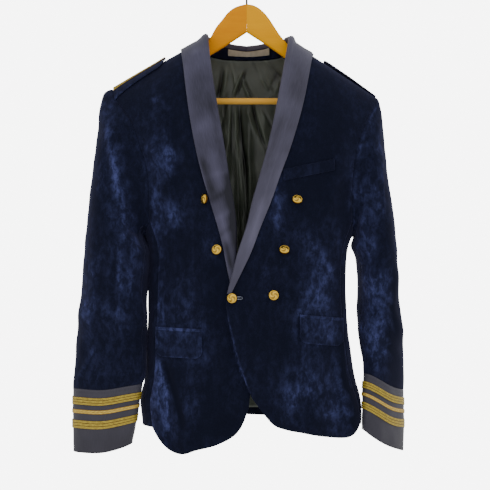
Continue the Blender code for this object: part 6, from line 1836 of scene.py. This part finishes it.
outer = back_point(x, z) - normal * (WALL + 2 * REST)
outer[..., 1] -= slack
piece = wall("silk_back_lining", outer, outer - np.array([0.0, LINING, 0.0]), lining_finish,
             {"brushed": creases(LINING_CREASES, x, z, LIGHT_COLUMN)})
declare("lining_back", outer)


# Shoulder straps: velvet with a pointed inner end, stitched down along the shoulder,
# with a narrow gilt braid sewn on each.

# Inner and outer x, front and back edge y, and how far the strap bows up
STRAPS = {LEFT: {"inner": 0.1400, "outer": 0.2316, "front": -0.0240, "back": 0.0170,
                 "bow": 0.0014},
          RIGHT: {"inner": 0.1330, "outer": 0.2245, "front": -0.0060, "back": 0.0340,
                  "bow": 0.0026}}
STRAP_GAP = 0.0011       # from the shoulder's cloth to the strap
STRAP_BRAID = 0.0120
STRAP_BRAID_SHIFT = 0.0035     # how far its middle lies in front of the strap's middle
STRAP_ROUND = 5.0        # how fast the outer end follows the round of the armhole
STRAP_LIFT = 0.0022
STRAP_ROWS = 80
STRAP_CORDS, STRAP_TWISTS = 5, 28      # cords of its braid and the twists along one

for side, word in WORDS.items():
    strap = STRAPS[side]

    def bed(x, y):
        """Point of the shoulder at x and y, on the front or the back of its line."""
        z0 = shoulder_z(x)
        middle, half, front, back = section(z0 - 0.01)
        curve = arch(np.abs((x - middle) / half), SECTION_POWER)
        ridge = np.clip(np.abs(y) / (np.where(y < 0, -front, back) * curve), 0, 0.999)
        return points_of(x, y, z0 - RIDGE_DEPTH * (1 - arch(ridge, RIDGE_POWER)))

    middle_y = (strap["front"] + strap["back"]) / 2 - STRAP_BRAID_SHIFT
    for kind, front_y, back_y, gap, tip, columns in (
            ("strap", strap["front"], strap["back"], STRAP_GAP, 0.55, 30),
            ("braid", middle_y - STRAP_BRAID / 2, middle_y + STRAP_BRAID / 2,
             STRAP_GAP + TRIM + BRAID_GAP, 0.2, 36)):
        along = np.linspace(0, 1, STRAP_ROWS)[:, None]
        narrow = tip * (1 - np.clip(along / 0.16, 0, 1)) ** 2
        across = np.linspace(-1, 1, columns + 1)
        y = (back_y + front_y) / 2 + (back_y - front_y) / 2 * (1 - narrow) * across
        outer_x = strap["outer"] - STRAP_ROUND * y * y
        x = side * (strap["inner"] + (outer_x - strap["inner"]) * along)
        normal = normals(bed, x, y, np.array([0.0, 0.0, 1.0]))
        lift = (gap + STRAP_LIFT * (1 - np.clip(along / 0.35, 0, 1)) ** 2
                + strap["bow"] * np.sin(np.pi * along ** 0.6))
        inner = bed(x, y) + normal * lift[..., None]
        if kind == "strap":
            height = 1.0 - 0.35 * np.abs(across) ** 8 + 0 * along
            # Painted highlights along both long edges of the strap
            piece = wall("velvet_strap_" + word, inner + normal * (TRIM * height)[..., None],
                         inner, velvet, {"brushed": 0.08 + 0.4 * np.abs(across) ** 10})
            declare("strap_" + word, inner)
        else:
            phase = (across + 1) / 2 * STRAP_CORDS
            crown = np.abs(np.sin(np.pi * phase)) ** 0.7
            twist = wound(STRAP_TWISTS * along, phase)
            braid("gilt_strap_braid_" + word, "strap_braid_" + word, inner, normal,
                  crown * (0.62 + 0.38 * twist), braid_gilt)


# Buttons: stamped brass shells on shanks, a domed face with a soft swirl inside a rim.
# The waist one goes through a worked buttonhole, the others are sewn on for show.

BUTTON_RADIUS = 0.0092
BUTTON_DOME = 0.0050
BUTTON_SHANK = 0.0042
BUTTON_SHANK_RADIUS = 0.0016
BUTTON_REST = 0.0002
BUTTON_DIP = 0.0009      # how far a tilted rim may sink into the pile
# x, z, tilt to the side and down in degrees, and the front that each lies on
BUTTONS = {
    "button_upper_left": (-0.0706, -0.4128, -58.0, 4.0, LEFT),
    "button_upper_right": (0.0853, -0.4146, 8.0, 40.0, RIGHT),
    "button_middle_left": (-0.0506, -0.4992, -24.0, 14.0, LEFT),
    "button_middle_right": (0.0630, -0.5000, 6.0, 42.0, RIGHT),
    "button_front": (-0.0242, -0.5812, -20.0, 0.0, RIGHT),
    "button_lower_right": (0.0450, -0.5764, 2.0, 4.0, RIGHT),
}
BUTTONHOLE = {"length": 0.0205, "z": -0.5812, "start_x": -0.0272}
FACE_RINGS, BUTTON_SIDES = 40, 72

# Brass: painted highlights on the raised swirl and rim, painted shade on the outer flank and the
# shank, over wear
brass = start("stamped_brass")
relief = carried(brass, "crown")
wear = place(brass).noise(420.0, 3.0)
brass_finish = finish("stamped_brass", (relief * 1.2 + wear * 0.4 - 0.2).clamp().mix(
    (0.12, 0.045, 0.002), (1.0, 0.64, 0.10)), wear * 0.15 + 0.16, wear, 0.08, 0.0003,
    {"Metallic": 1.0})


def button_rings(shank):
    """A button about +Z: rings from the face's middle over the rim and down the shank. The
    face is a shallow dome, stamped with a three-armed spiral, a groove and a raised rim."""
    out = np.concatenate([np.linspace(0.02, 0.80, 26), np.linspace(0.82, 1.0, FACE_RINGS - 26),
                          [1.0, 0.97, 0.90], [0.30, 0.17, 0.16, 0.16]])
    number = np.arange(len(out))[:, None]
    face = 0.0010 + BUTTON_DOME * np.sqrt(np.clip(1 - (out[:FACE_RINGS] / 1.02) ** 2, 0, 1))
    height = np.concatenate([face, [0.0006, 0.0001, 0.0], [-0.0002, -0.0005, -shank * 0.6, -shank]])
    angle = circle(BUTTON_SIDES)
    share = out[:, None]
    swirl = np.sin(3 * angle + 7.0 * share) * np.clip(share / 0.3, 0, 1)
    swirl = np.where(share < 0.74, np.abs(swirl) ** 0.6 * np.sign(swirl), 0.0)
    rim = bell(share - 0.86, 0.05)
    stamped = 0.00022 * swirl + 0.00035 * rim - 0.00025 * bell(share - 0.76, 0.03)
    stamped = np.where(number < FACE_RINGS, stamped, 0.0)
    rings = points_of(BUTTON_RADIUS * share * np.cos(angle), BUTTON_RADIUS * share * np.sin(angle),
                      height[:, None] + stamped)
    # Painted light on the face: lighter on the swirl and rim, painted shade on the outer flank, and
    # the shank painted dark as shade
    crown = np.clip(0.55 + 0.3 * swirl + 0.4 * rim - 1.2 * bell(share - 1.0, 0.06), 0, 1)
    return rings, np.where(number < FACE_RINGS + 2, crown, 0.15)


def turned_to(turn, nod):
    """Rotation that lays the button's axis forwards, nodding down and turned aside."""
    a, c = math.radians(90 - nod), math.radians(turn)
    over_x = np.array([[1, 0, 0], [0, math.cos(a), -math.sin(a)], [0, math.sin(a), math.cos(a)]])
    over_z = np.array([[math.cos(c), -math.sin(c), 0], [math.sin(c), math.cos(c), 0], [0, 0, 1]])
    return over_z @ over_x


for name, (x, z, turn, nod, side) in BUTTONS.items():
    point = front_point(side)
    x, z = np.array(x), np.array(z)
    spot = point(x, z)
    way = normals(point, x, z, FORWARDS)
    shank = BUTTON_SHANK
    if name == "button_front":
        shank += float(front_point(LEFT)(x, z)[1] - front_point(RIGHT)(x, z)[1]) - SEAM
    turned = turned_to(turn, nod)
    cosine = float(turned[:, 2] @ way)
    sine = math.sqrt(max(0.0, 1 - cosine**2))
    foot = BUTTON_SHANK * cosine + BUTTON_SHANK_RADIUS * sine
    stand = max(foot, BUTTON_RADIUS * sine - BUTTON_DIP) + SEAM + BUTTON_REST
    rings, crown = button_rings(shank)
    piece = closed_tube("brass_" + name, rings @ turned.T + spot + way * stand, brass_finish,
                        {"crown": np.append(crown.ravel(), (0.6, 0.2))})
    stands_for(name)

# Buttonhole at the waist of the front that laps over: a cut in the velvet, worked round
# with close stitches of pale thread.
STITCH_POINTS, THREAD_SIDES, THREAD_RADIUS = 260, 10, 0.0007
hole_x, hole_z = BUTTONHOLE["start_x"], BUTTONHOLE["z"]
around = circle(STITCH_POINTS)
half = BUTTONHOLE["length"] / 2
# Round the cut: a long box with rounded corners, in small beads, one for each stitch
path_x = hole_x + half + (half - 0.0006) * np.sign(np.cos(around)) * np.abs(np.cos(around)) ** 0.35
path_z = hole_z + 0.0020 * np.sign(np.sin(around)) * np.abs(np.sin(around)) ** 0.5
path = front_point(RIGHT)(path_x, path_z)
path[:, 1] -= THREAD_RADIUS
run = unit(np.roll(path, -1, axis=0) - np.roll(path, 1, axis=0))
side_way = unit(np.cross(run, FORWARDS))
angle = circle(THREAD_SIDES)
bead = THREAD_RADIUS * (1 + 0.35 * np.cos(np.arange(STITCH_POINTS) * math.pi))[:, None]
rings = path[:, None] + bead[..., None] * (np.cos(angle)[None, :, None] * side_way[:, None]
                                           + np.sin(angle)[None, :, None] * FORWARDS)
thread = start("buttonhole_thread")
fibre = place(thread).noise(1500.0, 2.0)
thread_finish = finish("buttonhole_thread", fibre.mix((0.14, 0.16, 0.24), (0.46, 0.50, 0.62)),
                       0.6, fibre, 0.3, 0.0003)
index = np.arange(STITCH_POINTS * THREAD_SIDES).reshape(STITCH_POINTS, THREAD_SIDES)
index = np.pad(index, ((0, 1), (0, 1)), mode="wrap")
stitches = skin("buttonhole_stitches", rings.reshape(-1, 3),
                squares(index).reshape(-1, 4).tolist(), thread_finish)


# Floor: a pale sheet well below the hem, since the jacket hangs.
FLOOR_REACH, FLOOR_Z = 4.0, -1.75
floor_mesh = bpy.data.meshes.new("floor")
floor_mesh.from_pydata([(x * FLOOR_REACH, y * FLOOR_REACH, FLOOR_Z)
                        for x, y in ((-1, -1), (1, -1), (1, 1), (-1, 1))], [], [(0, 1, 2, 3)])
floor = in_scene("floor", floor_mesh)
start("pale_floor")
floor_mesh.materials.append(finish("pale_floor", (0.80, 0.79, 0.77), 0.9))
